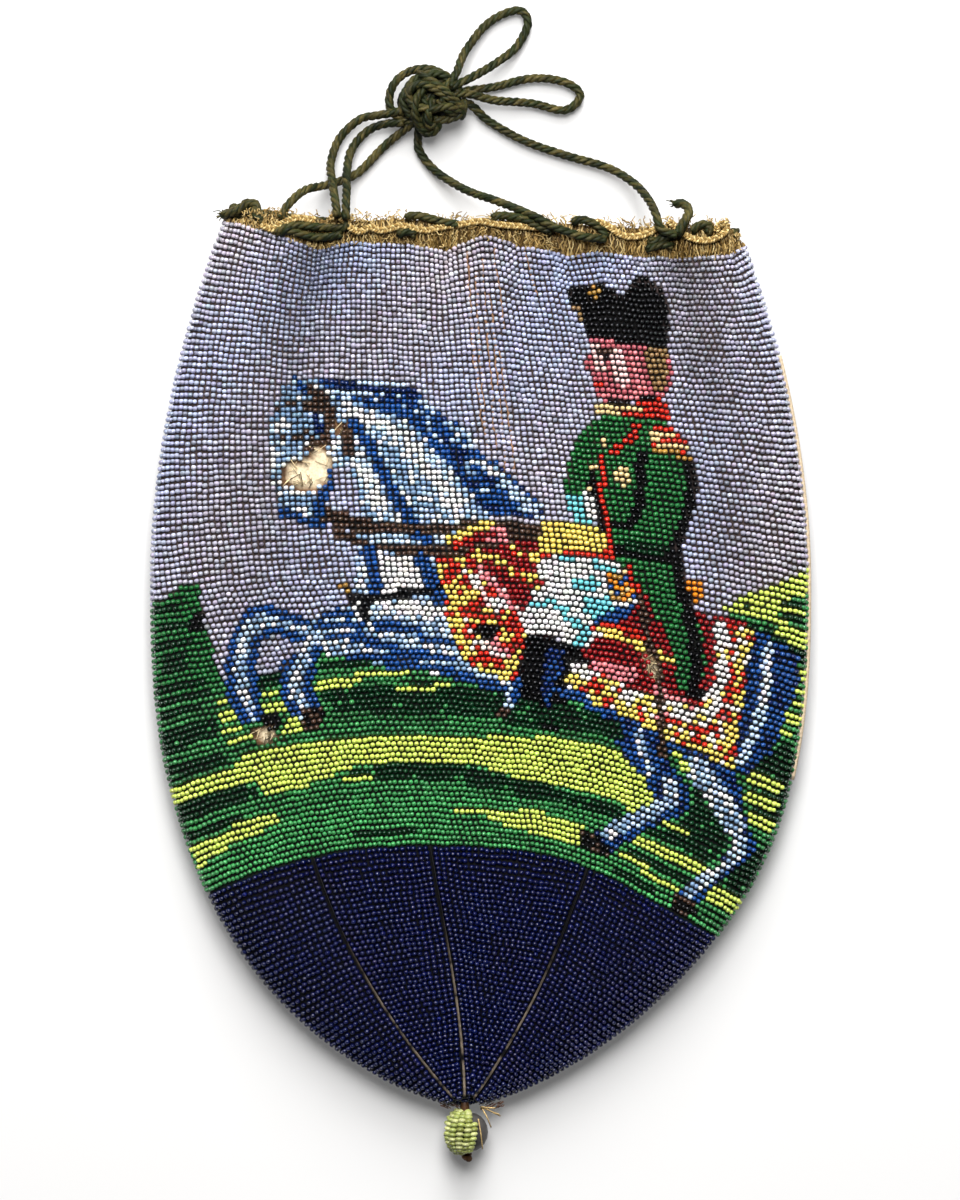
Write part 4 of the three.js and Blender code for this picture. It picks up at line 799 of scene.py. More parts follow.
def ring_faces(count, sides):
    """Triangles of a closed skin over rings of corners, whose two end points come after the rings."""
    i, j = np.meshgrid(np.arange(count - 1), np.arange(sides), indexing="ij")
    k = (j + 1) % sides
    quads = np.stack([i * sides + j, i * sides + k, (i + 1) * sides + k, (i + 1) * sides + j], -1)
    quads = quads.reshape(-1, 4)
    j = np.arange(sides)
    k = (j + 1) % sides
    first, last = np.full(sides, count * sides), np.full(sides, count * sides + 1)
    end = (count - 1) * sides
    caps = [np.stack([k, j, first], -1), np.stack([end + j, end + k, last], -1)]
    return np.concatenate([quads[:, [0, 1, 2]], quads[:, [0, 2, 3]]] + caps)


def carried_frames(line):
    """Two directions across a line that turn with it as little as they can."""
    tangent = unit(np.gradient(line, axis=0))
    normal = np.zeros_like(line)
    start = np.array([0, 0, 1.0]) if abs(tangent[0, 2]) < 0.9 else np.array([1.0, 0, 0])
    normal[0] = unit(start - tangent[0] * (start @ tangent[0]))
    for i in range(1, len(line)):
        n = normal[i - 1] - tangent[i] * (normal[i - 1] @ tangent[i])
        normal[i] = unit(n)
    return normal, np.cross(tangent, normal)


class Bundle:
    """Tubes and balls that make up one piece."""

    def __init__(self):
        self.verts, self.faces, self.colours, self.uv, self.owner = [], [], [], [], []
        self.total = 0
        self.parts = 0

    def add(self, verts, faces, colours, flat):
        """One closed part, with flat places for its own cell of the texture."""
        self.verts.append(verts)
        self.faces.append(faces + self.total)
        self.colours.append(colours)
        self.uv.append(flat[faces.ravel()])
        self.owner.append(np.full(faces.size, self.parts))
        self.total += len(verts)
        self.parts += 1

    def tube(self, line, radius, colour, sides=6):
        """Closed tube along a line; radius and colour may change along it."""
        count = len(line)
        radius = np.broadcast_to(np.asarray(radius, float), (count,))
        colour = np.asarray(colour, float)
        if colour.ndim < 3:
            colour = np.broadcast_to(colour, (count, 3))[:, None]
        colour = np.broadcast_to(colour, (count, sides, 3))
        normal, side = carried_frames(line)
        angle = (np.arange(sides) * 2 * math.pi / sides)[None, :, None]
        ring = normal[:, None] * np.cos(angle) + side[:, None] * np.sin(angle)
        verts = (line[:, None] + ring * radius[:, None, None]).reshape(-1, 3)
        u = np.concatenate([np.repeat(np.linspace(0, 1, count), sides), [0, 1]])
        v = np.concatenate([np.tile(np.linspace(0, 1, sides), count), [0.5, 0.5]])
        colours = np.concatenate([colour.reshape(-1, 3), colour[0, :1], colour[-1, :1]])
        verts = np.concatenate([verts, line[:1], line[-1:]])
        self.add(verts, ring_faces(count, sides), colours, np.stack([u, v], -1))

    def ball(self, centre, radii, colour, turn=0.0, rings=6, sides=8):
        """Closed ball, with radii along X, Y and Z, turned about Z."""
        lat = np.linspace(-math.pi / 2, math.pi / 2, rings + 1)[1:-1, None]
        lon = np.arange(sides) * 2 * math.pi / sides
        skin = [np.cos(lat) * np.cos(lon), np.cos(lat) * np.sin(lon), np.repeat(np.sin(lat), sides, 1)]
        poles = [[0, 0, -1], [0, 0, 1]]
        unit_ball = np.concatenate([np.stack(skin, -1).reshape(-1, 3), poles])
        c, s = math.cos(turn), math.sin(turn)
        verts = (unit_ball * radii) @ np.array([[c, s, 0], [-s, c, 0], [0, 0, 1]]) + centre
        flat = unit_ball[:, :2] * 0.45 + 0.5
        self.add(verts, ring_faces(rings - 1, sides), np.broadcast_to(colour, verts.shape), flat)

    def twist(self, line, diameter, colours, plies=3, sides=7, rough=0.0):
        """Rope of several plies laid round a line, each ply streaked with its yarns."""
        normal, side = carried_frames(line)
        radius = diameter * PLY_SHARE
        reach = diameter / 2 - radius
        tones = np.asarray(colours)
        place = np.arange(len(line))
        for k in range(plies):
            angle = (k / plies - distances(line) / CORD_PITCH) * 2 * math.pi
            ply = line + reach * (normal * np.cos(angle)[:, None] + side * np.sin(angle)[:, None])
            ply = ply + RNG.normal(0, rough, ply.shape)
            yarn = RNG.integers(0, len(tones), sides)
            turn = (np.arange(sides)[None] + place[:, None] // 2) % sides
            patch = RNG.integers(0, len(tones), len(line) // YARN_PATCH + 2)[place // YARN_PATCH]
            tint = YARN_SHARE * tones[yarn[turn]] + (1 - YARN_SHARE) * tones[patch][:, None]
            self.tube(ply, radius, tint * RNG.uniform(0.85, 1.15, (len(line), 1, 1)), sides)

    def piece(self, name, material, slot=None, replaces=()):
        corner, size = cells(self.parts)
        uv = corner[np.concatenate(self.owner)] + (np.concatenate(self.uv) * 0.9 + 0.05) * size
        return new_piece(name, np.concatenate(self.verts), np.concatenate(self.faces),
                         np.concatenate(self.colours), uv, material, replaces)


def grid_piece(name, points, colours, material, replaces=(), back=None):
    """Surface through a grid of points; a second grid behind it makes it a closed sheet."""
    rows, columns = points.shape[:2]
    i, j = np.meshgrid(np.arange(rows - 1), np.arange(columns - 1), indexing="ij")
    a = i * columns + j
    quads = np.stack([a, a + 1, a + columns + 1, a + columns], -1).reshape(-1, 4)
    u, v = np.meshgrid(np.linspace(0, 1, columns), np.linspace(0, 1, rows))
    flat = np.stack([u, v], -1).reshape(-1, 2)
    verts, faces, shades = points.reshape(-1, 3), quads, colours.reshape(-1, 3)
    if back is not None:
        count = rows * columns
        verts = np.concatenate([verts, back.reshape(-1, 3)])
        shades = np.concatenate([shades, shades])
        flat = np.concatenate([flat * [0.5, 1], flat * [0.5, 1] + [0.5, 0]])
        rim = np.concatenate([
            np.arange(columns), np.arange(1, rows) * columns + columns - 1,
            (rows - 1) * columns + np.arange(columns - 2, -1, -1), np.arange(rows - 2, 0, -1) * columns,
        ])
        after = np.roll(rim, -1)
        edge = np.stack([after, rim, rim + count, after + count], -1)
        faces = np.concatenate([quads, quads[:, ::-1] + count, edge])
    return new_piece(name, verts, faces, shades, flat[faces.ravel()], material, replaces)


# Materials

def coloured_material(name, roughness):
    """Material with a node for the colour of its piece's points."""
    material = bpy.data.materials.new(name)
    material.use_nodes = True
    shader = material.node_tree.nodes["Principled BSDF"]
    shader.inputs["Roughness"].default_value = roughness
    colour = material.node_tree.nodes.new("ShaderNodeVertexColor")
    colour.layer_name = "Col"
    return material, shader, colour.outputs["Color"]


def glass_material(name, roughness, ior):
    material, shader, colour = coloured_material(name, roughness)
    material.node_tree.links.new(colour, shader.inputs["Base Color"])
    shader.inputs["IOR"].default_value = ior
    return material


def thread_material(name, roughness, metallic=0.0, grain=0.35, scale=1800.0):
    """Colour of each thread, broken up by a fine grain."""
    material, shader, colour = coloured_material(name, roughness)
    nodes, links = material.node_tree.nodes, material.node_tree.links
    place = nodes.new("ShaderNodeTexCoord")
    noise = nodes.new("ShaderNodeTexNoise")
    noise.inputs["Scale"].default_value = scale
    noise.inputs["Detail"].default_value = 3
    links.new(place.outputs["Object"], noise.inputs["Vector"])
    span = nodes.new("ShaderNodeMapRange")
    limits = {"From Min": 0.25, "From Max": 0.75, "To Min": 1 - grain, "To Max": 1 + grain}
    for socket, value in limits.items():
        span.inputs[socket].default_value = value
    links.new(noise.outputs["Fac"], span.inputs["Value"])
    mix = nodes.new("ShaderNodeVectorMath")
    mix.operation = "SCALE"
    links.new(colour, mix.inputs[0])
    links.new(span.outputs["Result"], mix.inputs["Scale"])
    links.new(mix.outputs["Vector"], shader.inputs["Base Color"])
    shader.inputs["Metallic"].default_value = metallic
    shader.inputs["Specular IOR Level"].default_value = THREAD_SHINE
    return material


THREAD_SHINE = 0.15
GLASS = glass_material("bead_glass", 0.12, 1.7)
DULL_GLASS = glass_material("worn_glass", 0.36, 1.5)
SILK = thread_material("silk", 0.55)
GROUND = thread_material("silk_ground", 0.8)
CLOTH = thread_material("lining_cloth", 0.9, grain=0.15)
GILT = thread_material("gilt_thread", 0.42, metallic=0.25, grain=0.3)
CORE = thread_material("drop_core", 0.35, grain=0.2, scale=900.0)


# Camera, light and floor, in metres

# Lamps: place, size, power, colour, and whether the lamp makes highlights alone or everything but highlights
LAMP_TARGET = (0, 0.01, 0)
WARM_WHITE, COOL_WHITE = (1.0, 0.99, 0.98), (0.95, 0.97, 1.0)
LAMPS = [
    ("key", (0.0, 0.62, 1.1), 0.8, 22.8, WARM_WHITE, False),
    ("low", (0.02, 1.15, 0.62), 0.7, 23.2, WARM_WHITE, False),
    ("spark", (-0.16, 0.5, 1.15), 0.48, 24.0, COOL_WHITE, True),
]
WORLD_STRENGTH = 0.004
FLOOR_SIDE, FLOOR_LEVEL, FLOOR_GREY, FLOOR_ROUGHNESS = 3.0, -0.0004, 0.68, 0.95
FLOOR_WHITE_SHARE = 0.15


def add_camera():
    data = bpy.data.cameras.new("camera")
    data.lens = LENS
    data.sensor_width = SENSOR
    camera = bpy.data.objects.new("camera", data)
    height = FRAME_HEIGHT * LENS / SENSOR + TRUE_SCALE_Z
    camera.location = (FRAME_CENTRE[0] * MM, FRAME_CENTRE[1] * MM, height * MM)
    bpy.context.scene.collection.objects.link(camera)
    bpy.context.scene.camera = camera


def add_lamps():
    for name, place, size, power, colour, highlights in LAMPS:
        data = bpy.data.lights.new(name, "AREA")
        data.shape = "DISK"
        data.size = size
        data.energy = power
        data.color = colour
        lamp = bpy.data.objects.new(name, data)
        lamp.location = place
        bpy.context.scene.collection.objects.link(lamp)
        lamp.rotation_euler = (Vector(LAMP_TARGET) - lamp.location).to_track_quat("-Z", "Y").to_euler()
        lamp.visible_glossy = highlights
        lamp.visible_diffuse = not highlights
    world = bpy.data.worlds.new("world")
    world.use_nodes = True
    bpy.context.scene.world = world
    world.node_tree.nodes["Background"].inputs["Color"].default_value = (*COOL_WHITE, 1)
    world.node_tree.nodes["Background"].inputs["Strength"].default_value = WORLD_STRENGTH


def floor_material():
    """Pale floor that keeps the shadow, with a share of plain white for what the camera sees of it."""
    material = bpy.data.materials.new("floor")
    material.use_nodes = True
    nodes, links = material.node_tree.nodes, material.node_tree.links
    shader = nodes["Principled BSDF"]
    shader.inputs["Base Color"].default_value = (FLOOR_GREY, FLOOR_GREY, FLOOR_GREY, 1)
    shader.inputs["Roughness"].default_value = FLOOR_ROUGHNESS
    white = nodes.new("ShaderNodeEmission")
    path = nodes.new("ShaderNodeLightPath")

    def math_node(operation, first, second=None):
        node = nodes.new("ShaderNodeMath")
        node.operation = operation
        links.new(first, node.inputs[0])
        if second:
            links.new(second, node.inputs[1])
        return node

    mirrored = math_node("MAXIMUM", path.outputs["Is Glossy Ray"], path.outputs["Is Transmission Ray"])
    seen = math_node("MAXIMUM", path.outputs["Is Camera Ray"], mirrored.outputs["Value"])
    share = math_node("MULTIPLY", seen.outputs["Value"])
    share.inputs[1].default_value = FLOOR_WHITE_SHARE
    mix = nodes.new("ShaderNodeMixShader")
    links.new(share.outputs["Value"], mix.inputs["Fac"])
    links.new(shader.outputs["BSDF"], mix.inputs[1])
    links.new(white.outputs["Emission"], mix.inputs[2])
    links.new(mix.outputs["Shader"], nodes["Material Output"].inputs["Surface"])
    return material


def add_floor():
    mesh = bpy.data.meshes.new("floor")
    turns = ((-1, -1), (1, -1), (1, 1), (-1, 1))
    corners = [(x * FLOOR_SIDE, y * FLOOR_SIDE, FLOOR_LEVEL) for x, y in turns]
    mesh.from_pydata(corners, [], [(0, 1, 2, 3)])
    mesh.materials.append(floor_material())
    floor = bpy.data.objects.new("floor", mesh)
    bpy.context.scene.collection.objects.link(floor)


# Beadwork

def even_row(across, row, face, count, phase):
    """Places at even distances along rows; across holds each row's samples."""
    points = bag_point(across, row[:, None], 0, face)
    step = np.linalg.norm(np.diff(points, axis=1), axis=2)
    length = np.concatenate([np.zeros((len(row), 1)), np.cumsum(step, 1)], 1)
    places, pitch = [], []
    for i in range(len(row)):
        share = ((np.arange(count) + 0.5 + phase[i]) / count) % 1.0
        places.append(np.interp(share * length[i, -1], length[i], across[i]))
        pitch.append(np.full(count, length[i, -1] / count))
    return np.array(places), np.array(pitch)


def picture_places(face):
    """Across, row and spacing of the beads above the base."""
    row = np.arange(PICTURE_ROWS) + 0.5
    across = np.tile(np.sin(np.linspace(-math.pi / 2, math.pi / 2, 161)), (len(row), 1))
    lean = UPPER_LEAN * np.minimum(row, LEAN_ROW) + LOWER_LEAN * np.maximum(row - LEAN_ROW, 0)
    places, pitch = even_row(across, row, face, BEADS_ACROSS, lean)
    rows = np.repeat(row, BEADS_ACROSS)
    return places.ravel(), rows, pitch.ravel()


def straight_rows(across, row, face):
    """Rows that bend back the sag of one row of a gore, at each place across it."""
    rows = np.full(len(across), row)
    straight = STRAIGHT_SHARE * smooth((row - PICTURE_ROWS) / STRAIGHT_ROWS)
    low, high = bag_point(across[[0, -1]], row, 0, face)
    for _ in range(2):
        points = bag_point(across, rows, 0, face)
        part = (points[:, 0] - low[0]) / (high[0] - low[0])
        target = low[1] + part * (high[1] - low[1])
        below = bag_point(across, rows + 0.5, 0, face)
        fall = np.maximum((points[:, 1] - below[:, 1]) * 2, 0.5)
        rows = rows + straight * (points[:, 1] - target) / fall
    return np.clip(rows, PICTURE_ROWS, ROWS)


def gore_places(face, gore):
    """Across, row and spacing of the beads of one gore, in rows that run straight from seam to seam."""
    found = []
    clear = SEAM_WIDTH / 2 + BEAD_LENGTH / 2
    for row in np.arange(PICTURE_ROWS, ROWS - 1) + 0.6:
        share = (row - PICTURE_ROWS) / BASE_ROWS
        columns = [top + (tip - top) * share for top, tip in GORE_SEAMS[gore:gore + 2]]
        first, last = chart_across(columns)
        across = np.linspace(first, last, 41)
        rows = straight_rows(across, row, face)
        length = distances(bag_point(across, rows, 0, face))
        room = length[-1] - 2 * clear
        if room < LEAST_GORE_ROOM:
            continue
        count = int(round(room / GORE_PITCH)) + 1
        at = np.linspace(clear, length[-1] - clear, count) if count > 1 else np.array([length[-1] / 2])
        pitch = np.full(count, room / max(count - 1, 1))
        found.append(np.stack([np.interp(at, length, across), np.interp(at, length, rows), pitch], -1))
    across, rows, pitch = np.concatenate(found).T
    return across, rows, np.minimum(pitch, WIDEST_GORE_PITCH)


def lay_beads(across, row, pitch, face, tilt):
    """Centres, axes and sizes of beads that lie along their rows."""
    count = len(across)
    along, out = bag_frame(across, row, face)
    up = np.cross(out, along)
    turn = np.radians(tilt) + RNG.normal(0, TURN_STRAY, count)
    first = along * np.cos(turn)[:, None] + up * np.sin(turn)[:, None]
    first = unit(first + out * RNG.normal(0, LIFT_STRAY, count)[:, None])
    out = unit(out - first * np.sum(out * first, 1)[:, None])
    axes = np.stack([first, np.cross(out, first), out], 1)
    centre = bag_point(across, row, BEAD_DEPTH, face)
    x, y = centre[:, 0], centre[:, 1]
    wave = ROW_WAVE * clouds(x, y, ROW_WAVE_LENGTH, 31) + RNG.normal(0, PLACE_STRAY, count)
    sway = ROW_WAVE * clouds(x, y, ROW_SWAY_LENGTH, 32) + RNG.normal(0, PLACE_STRAY, count)
    centre = centre + up * wave[:, None] + along * sway[:, None]
    length = np.minimum(BEAD_LENGTH, pitch * FULLEST_BEAD_SHARE)
    size = np.stack([length, np.full(count, BEAD_WIDTH), np.full(count, BEAD_HEIGHT)], -1)
    size *= np.exp(RNG.normal(0, SIZE_STRAY, (count, 1)))
    return {"centre": centre, "axes": axes, "size": size}


def pick(beads, keep):
    return {k: v[keep] for k, v in beads.items()}


def add_front():
    across, row, pitch = picture_places("front")
    column = across_column(across)
    chart_row = row - mouth_stray(across, row) / ROW_PITCH
    field, colour = paint_front(column, chart_row)
    lost = np.zeros(len(row), bool)
    for outline in LOST_PATCHES:
        lost |= inside(outline, column, row)
    tilt = TILT + MORE_TILT * smooth((row - TILT_ROW) / TILT_ROWS)
    beads = lay_beads(across, row, pitch, "front", tilt)
    # Beads darken towards the bottom of each fold as painted shade
    fold_shade = 1 - FOLD_SHADE * fold_depth(across, row) / FOLD_DEPTH
    beads["colour"] = bead_colours(colour, column, row) * fold_shade[:, None]
    for i, (node, _, _) in enumerate(FIELDS):
        mine = pick(beads, (field == i) & ~lost)
        bead_piece("beads_" + node, dome_bead(), mine, GLASS, [node])


def add_back():
    across, row, pitch = picture_places("back")
    beads = lay_beads(across, row, pitch, "back", BACK_TILT)
    sky = row < BACK_HORIZON_ROW
    colour = np.where(sky, NAMES.index("lavender"), NAMES.index("green"))
    beads["colour"] = bead_colours(colour, across * SIDE_COLUMNS, row)
    bead_piece("beads_sky_back", plain_bead(), pick(beads, sky), GLASS, ["sky_back"])
    bead_piece("beads_meadow_back", plain_bead(), pick(beads, ~sky), GLASS, ["meadow_back"])


def add_base():
    for face, template in (("front", dome_bead()), ("back", plain_bead())):
        for gore in range(4):
            across, row, pitch = gore_places(face, gore)
            beads = lay_beads(across, row, pitch, face, GORE_TILT)
            colour = np.full(len(row), NAMES.index("navy"))
            beads["colour"] = bead_colours(colour, across, row)
            node = f"base_gore_{face}_{gore + 1}"
            bead_piece("beads_" + node, template, beads, GLASS, [node])


def bag_grid(depth, rows, count):
    """Points all round the bag: front from left to right, then back from right to left."""
    front = np.sin(np.linspace(-math.pi / 2, math.pi / 2, count))
    above = bag_point(front[None], rows[:, None], depth, "front")
    below = bag_point(front[None, ::-1], rows[:, None], depth, "back")
    return np.concatenate([above, below[:, 1:]], 1), front


# How much of the ground's brown shows under each kind of bead, the rest dimmed away as painted shade, and
# how much of the glass's own colour it takes as painted light
SKY_GROUND_SHARE, PALE_GROUND_SHARE, DARK_GROUND_SHARE, PAINTED_GLASS_LIGHT = 0.55, 0.05, 0.01, 0.03
TORN_WIDTH = 0.9


def add_ground():
    """Knitted silk that carries the beads, with its brown dimmed as painted shade, less under the sky and to
    nearly black under the picture, and a little of the glass's colour as painted light.
    """
    below = np.linspace(PICTURE_ROWS, ROWS - 1.5, 50)
    rows = np.concatenate([np.linspace(0, PICTURE_ROWS, 112), below[1:]])
    points, front = bag_grid(GROUND_DEPTH, rows, 107)
    column, row = np.meshgrid(across_column(front), rows)
    _, colour = paint_front(column.ravel(), row.ravel())
    colour = colour.reshape(column.shape)
    base = row > PICTURE_ROWS
    sky = ((colour == NAMES.index("lavender")) & ~base)[..., None]
    colour[base] = NAMES.index("navy")
    glass = palette_colours(colour)
    pale = glass.mean(-1, keepdims=True) > 0.2
    share = np.where(sky, SKY_GROUND_SHARE, np.where(pale, PALE_GROUND_SHARE, DARK_GROUND_SHARE))
    # Painted shade and light: the ground's brown dimmed by the kind of bead above it, plus a share of the
    # glass's colour
    shade = PAINTED_GLASS_LIGHT * glass + share * THREAD["ground"]
    for outline in LOST_PATCHES:
        bare = inside(outline, column, row)
        shade[bare] = THREAD["bare"] * RNG.uniform(0.75, 1.05, (bare.sum(), 1))
        rim = near(outline + outline[:1], TORN_WIDTH, column, row)
        shade[rim] = THREAD["torn"] * RNG.uniform(0.5, 1.5, (rim.sum(), 1))
    shade = np.concatenate([shade, shade[:, -2::-1]], 1)
    ground = grid_piece("silk_ground", points, shade, GROUND)


def add_lining():
    below = np.linspace(PICTURE_ROWS, ROWS - 6, 18)
    rows = np.concatenate([np.linspace(0, PICTURE_ROWS, 40), below[1:]])
    points, _ = bag_grid(LINING_DEPTH, rows, 41)
    inner, _ = bag_grid(LINING_INNER_DEPTH, rows, 41)
    colours = np.broadcast_to(THREAD["lining"], points.shape).copy()
    lining = grid_piece("lining", points, colours, CLOTH, ["lining_bag"], back=inner)


# Threads of the beadwork

# Bare threads between the columns: first and last column, first and last row
BARE_THREADS = [
    (-2.4, -0.6, 2, 24), (-0.8, 1.0, 6, 38), (0.4, 2.6, 4, 38), (1.6, 4.0, 10, 42), (-1.6, 0.4, 16, 34),
    (3.2, 5.4, 20, 42), (2.6, 4.2, 2, 16), (8.4, 10, 1, 9),
]
# Frayed ends at each place of lost beads
FRAYED_ENDS = (26, 18, 24, 4)


def surface_line(columns, rows, depth, step=0.8):
    """Line on the front through places given in columns and rows."""
    return spline(bag_point(chart_across(columns), rows, depth), step)


def add_seams():
    """Bare seams between the gores, dark above and with light thread towards the tip."""
    bundle = Bundle()
    tan, dark = THREAD["seam_tan"], THREAD["seam_dark"]
    share = np.linspace(0, 0.97, 24)
    for top, tip in GORE_SEAMS[1:-1]:
        line = surface_line(top + (tip - top) * share, PICTURE_ROWS + share * BASE_ROWS, 0.9)
        down = np.linspace(0, 1, len(line))
        light = smooth((down - 0.25) / 0.4) * RNG.uniform(0.5, 1.1, len(line))
        light = light * (RNG.random(len(line)) < 0.85)
        bundle.tube(line, 0.2 + 0.14 * down, dark + light[:, None] * (tan - dark), 5)
    bundle.piece("gore_seam_threads", SILK, "brown_thread")


def frayed_end(outline):
    """Short thread that stands up from the edge of a place of lost beads."""
    column, row = np.array(outline).T
    edge = RNG.integers(0, len(outline))
    pull = RNG.uniform(0.1, 0.6)
    c = column[edge] + pull * (column.mean() - column[edge])
    r = row[edge] + pull * (row.mean() - row[edge])
    angle = RNG.uniform(0, math.pi)
    reach = RNG.uniform(0.5, 1.3)
    steps = np.linspace(-1, 1, 4)
    across = chart_across(c + steps * reach * math.cos(angle))
    line = bag_point(across, r + steps * reach * math.sin(angle), 0.8)
    line[:, 2] += RNG.uniform(0, 0.7, 4) * (1 - steps ** 2) + RNG.uniform(-0.1, 0.3)
    return spline(line, 0.45)


def add_bare_threads():
    """Vertical threads that show between the columns, and frayed ends where beads are lost."""
    bundle = Bundle()
    for start, end, first, last in BARE_THREADS:
        count = last - first
        columns = np.linspace(start, end, count) + RNG.normal(0, 0.14, count)
        line = surface_line(columns, np.linspace(first, last, count), 0.5, 0.9)
        radius = RNG.uniform(0.12, 0.34, len(line))
        bundle.tube(line, radius, THREAD["tan"] * RNG.uniform(0.5, 1.15, (len(line), 1)), 5)
    for outline, count in zip(LOST_PATCHES, FRAYED_ENDS):
        for _ in range(count):
            line = frayed_end(outline)
            shade = THREAD["cream"] * RNG.choice([0.12, 0.4, 0.9])
            bundle.tube(line, RNG.uniform(0.06, 0.12), shade, 4)
    bundle.piece("bare_threads", SILK, "straw_thread")


def add_side_tape():
    bundle = Bundle()
    rows = np.linspace(18, 84, 60)
    line = spline(bag_point(0.998, rows, 0.25), 1.2)
    bundle.tube(line, 0.55, THREAD["tape"], 6)
    bundle.piece("side_seam_tape", SILK, "straw_thread")


# Gilt edging

# Height of the edging over the smooth mouth, by place across
EDGING_TOPS = (
    (-1, 0.4), (-0.9, 1.6), (-0.8, 3), (-0.73, 2.4), (-0.55, 3.9), (-0.47, 3.9), (-0.29, 5.4),
    (-0.18, 5.2), (0, 5.4), (0.07, 6.4), (0.14, 6.4), (0.21, 5.6), (0.33, 6), (0.43, 5.4), (0.62, 4.9),
    (0.71, 6), (0.76, 4.8), (0.83, 5.4), (0.93, 4.8), (0.955, 2), (1, 0.4),
)
# Foot of the threads under the edge of the beadwork, and the loops that they are worked in
EDGING_FOOT, LOOP_REACH, LOOP_LENGTH = -0.9, 0.0021, 1.3
# Loose curls: count, places round the mouth, and heights as shares of the band
FRAY_CURLS, FRAY_PLACES = 700, (0.13, 0.93)
FRAY_LEVELS, FRAY_SHARES = (1.0, 0.9, 0.55, 0.1), (0.45, 0.2, 0.2, 0.15)
GOLD = np.array([linear(c) for c in ((174, 147, 92), (140, 112, 62), (200, 176, 122), (94, 72, 36))])


def mouth_place(around):
    """Place round the mouth: 0 to 1 along the front from the left, 1 to 2 back along the underside."""
    around = np.asarray(around, float) % 2
    front = around < 1
    across = np.where(front, -np.cos(math.pi * around), np.cos(math.pi * (around - 1))) * 0.999
    above = bag_point(across, np.zeros_like(across), 0, "front")
    below = bag_point(across, np.zeros_like(across), 0, "back")
    return np.where(front[..., None], above, below), across, front


def mouth_out(around):
    """Direction out of the edging, square to the mouth's line."""
    before, _, _ = mouth_place(around - 0.004)
    after, _, _ = mouth_place(around + 0.004)
    return unit(np.cross(after - before, [0, 1.0, 0]))


def even_mouth(count):
    """Places at even distances round the mouth."""
    around = np.linspace(0, 2, 2001)
    points, _, _ = mouth_place(around)
    points[-1] = points[0]
    length = distances(points)
    return np.interp(np.linspace(0, length[-1], count, endpoint=False), length, around)


def edging_point(around, rise, reach):
    """Point of the edging: rise above the edge of the beadwork, reach out of its face."""
    point, _, _ = mouth_place(around)
    up = np.stack([np.zeros_like(rise), rise, np.zeros_like(rise)], -1)
    return point + up + mouth_out(around) * np.asarray(reach)[..., None]


def edging_height(across, front):
    """Height of the edging over the edge of the beadwork."""
    places, tops = zip(*EDGING_TOPS)
    return np.interp(across, places, tops) - np.where(front, mouth_stray(across, 0.0), 0)


def on_band(route, lift):
    """Route over the front of the edging, from places in the photograph's frame."""
    right, down = np.asarray(route, float).T
    x, y = (right - PIXEL_ORIGIN[0]) * PIXEL, (PIXEL_ORIGIN[1] - down) * PIXEL
    front = bag_point(np.clip(x / (MOUTH_WIDTH / 2), -0.99, 0.99), 0.0)
    return np.stack([x, y, front[:, 2] + lift], -1)


# Chain over the front of the edging, in pixels of the photograph's frame
CHAINS = [
    [(262, 226), (272, 230), (280, 226), (290, 221), (300, 219), (316, 221)],
    [(330, 219), (338, 218), (345, 222), (352, 230), (361, 233), (370, 229), (380, 232), (392, 230),
        (402, 227), (414, 230), (427, 232), (440, 229), (460, 226), (480, 223), (498, 226), (520, 228),
        (540, 229), (556, 228)],
    [(596, 223), (603, 225), (610, 229), (618, 235), (628, 238), (640, 237), (650, 233), (657, 229)],
    [(668, 222), (674, 227), (680, 232), (689, 238), (700, 241), (712, 240), (722, 235), (727, 228),
        (724, 224), (718, 226), (716, 232)],
]


def gilt_threads():
    """Ribbed threads of the band, front and back, standing between the beadwork and the rim."""
    bundle = Bundle()
    around = even_mouth(760)
    _, across, front = mouth_place(around)
    high = edging_height(across, front)
    gather = clouds(around * 60, around * 0, 9, 21)
    steps = np.linspace(0, 1, 9)
    for i, a in enumerate(around):
        rise = EDGING_FOOT + (high[i] + 0.5 + RNG.normal(0, 0.3)) * steps
        loop = LOOP_REACH * np.sin(steps * high[i] / LOOP_LENGTH * 2 * math.pi + math.pi * (i % 2))
        wander = loop + np.cumsum(RNG.normal(0, 0.0005, 9))
        bulge = -0.9 + 0.5 * np.sin(2.8 * steps + 0.2) + 0.4 * gather[i] * steps + RNG.normal(0, 0.1, 9)
        tint = GOLD[RNG.integers(0, 4)] * RNG.uniform(0.7, 1.1)
        bundle.tube(edging_point(a + wander, rise, bulge), 0.19, tint, 4)
    bundle.piece("gilt_edging_threads", GILT, "gilt_thread", ["gilt_edging"])


def gilt_ground():
    """Close knitted ground behind the threads of the band, in the darkest gold as painted shade."""
    around = np.linspace(0, 2, 261)
    _, across, front = mouth_place(around)
    high = edging_height(across, front) + 0.3
    behind = np.full(len(around), -1.3)
    points = np.stack([edging_point(around, EDGING_FOOT + high * s, behind) for s in np.linspace(0, 1, 6)])
    # The ground takes the darkest gold tone, dimmed further, as painted shade behind the threads
    shades = GOLD[3] * RNG.uniform(0.5, 1.1, points.shape[:2] + (1,))
    grid_piece("gilt_edging_ground", points, shades, GILT)


def gilt_rim():
    """Plaited chain that winds over the front of the band."""
    bundle = Bundle()
    step, plait_length, wide, deep = 0.22, 1.9, 0.62, 0.32
    for route in CHAINS:
        line = spline(on_band(route, 0.5), step)
        normal, side = carried_frames(line)
        for k in range(3):
            turn = (np.arange(len(line)) * step / plait_length + k / 3) * 2 * math.pi
            strand = line + wide * np.cos(turn)[:, None] * side + deep * np.sin(2 * turn)[:, None] * normal
            bundle.tube(strand, 0.3, GOLD[k] * RNG.uniform(0.85, 1.1, (len(line), 1)), 5)
    bundle.piece("gilt_edging_chain", GILT, "gilt_thread")


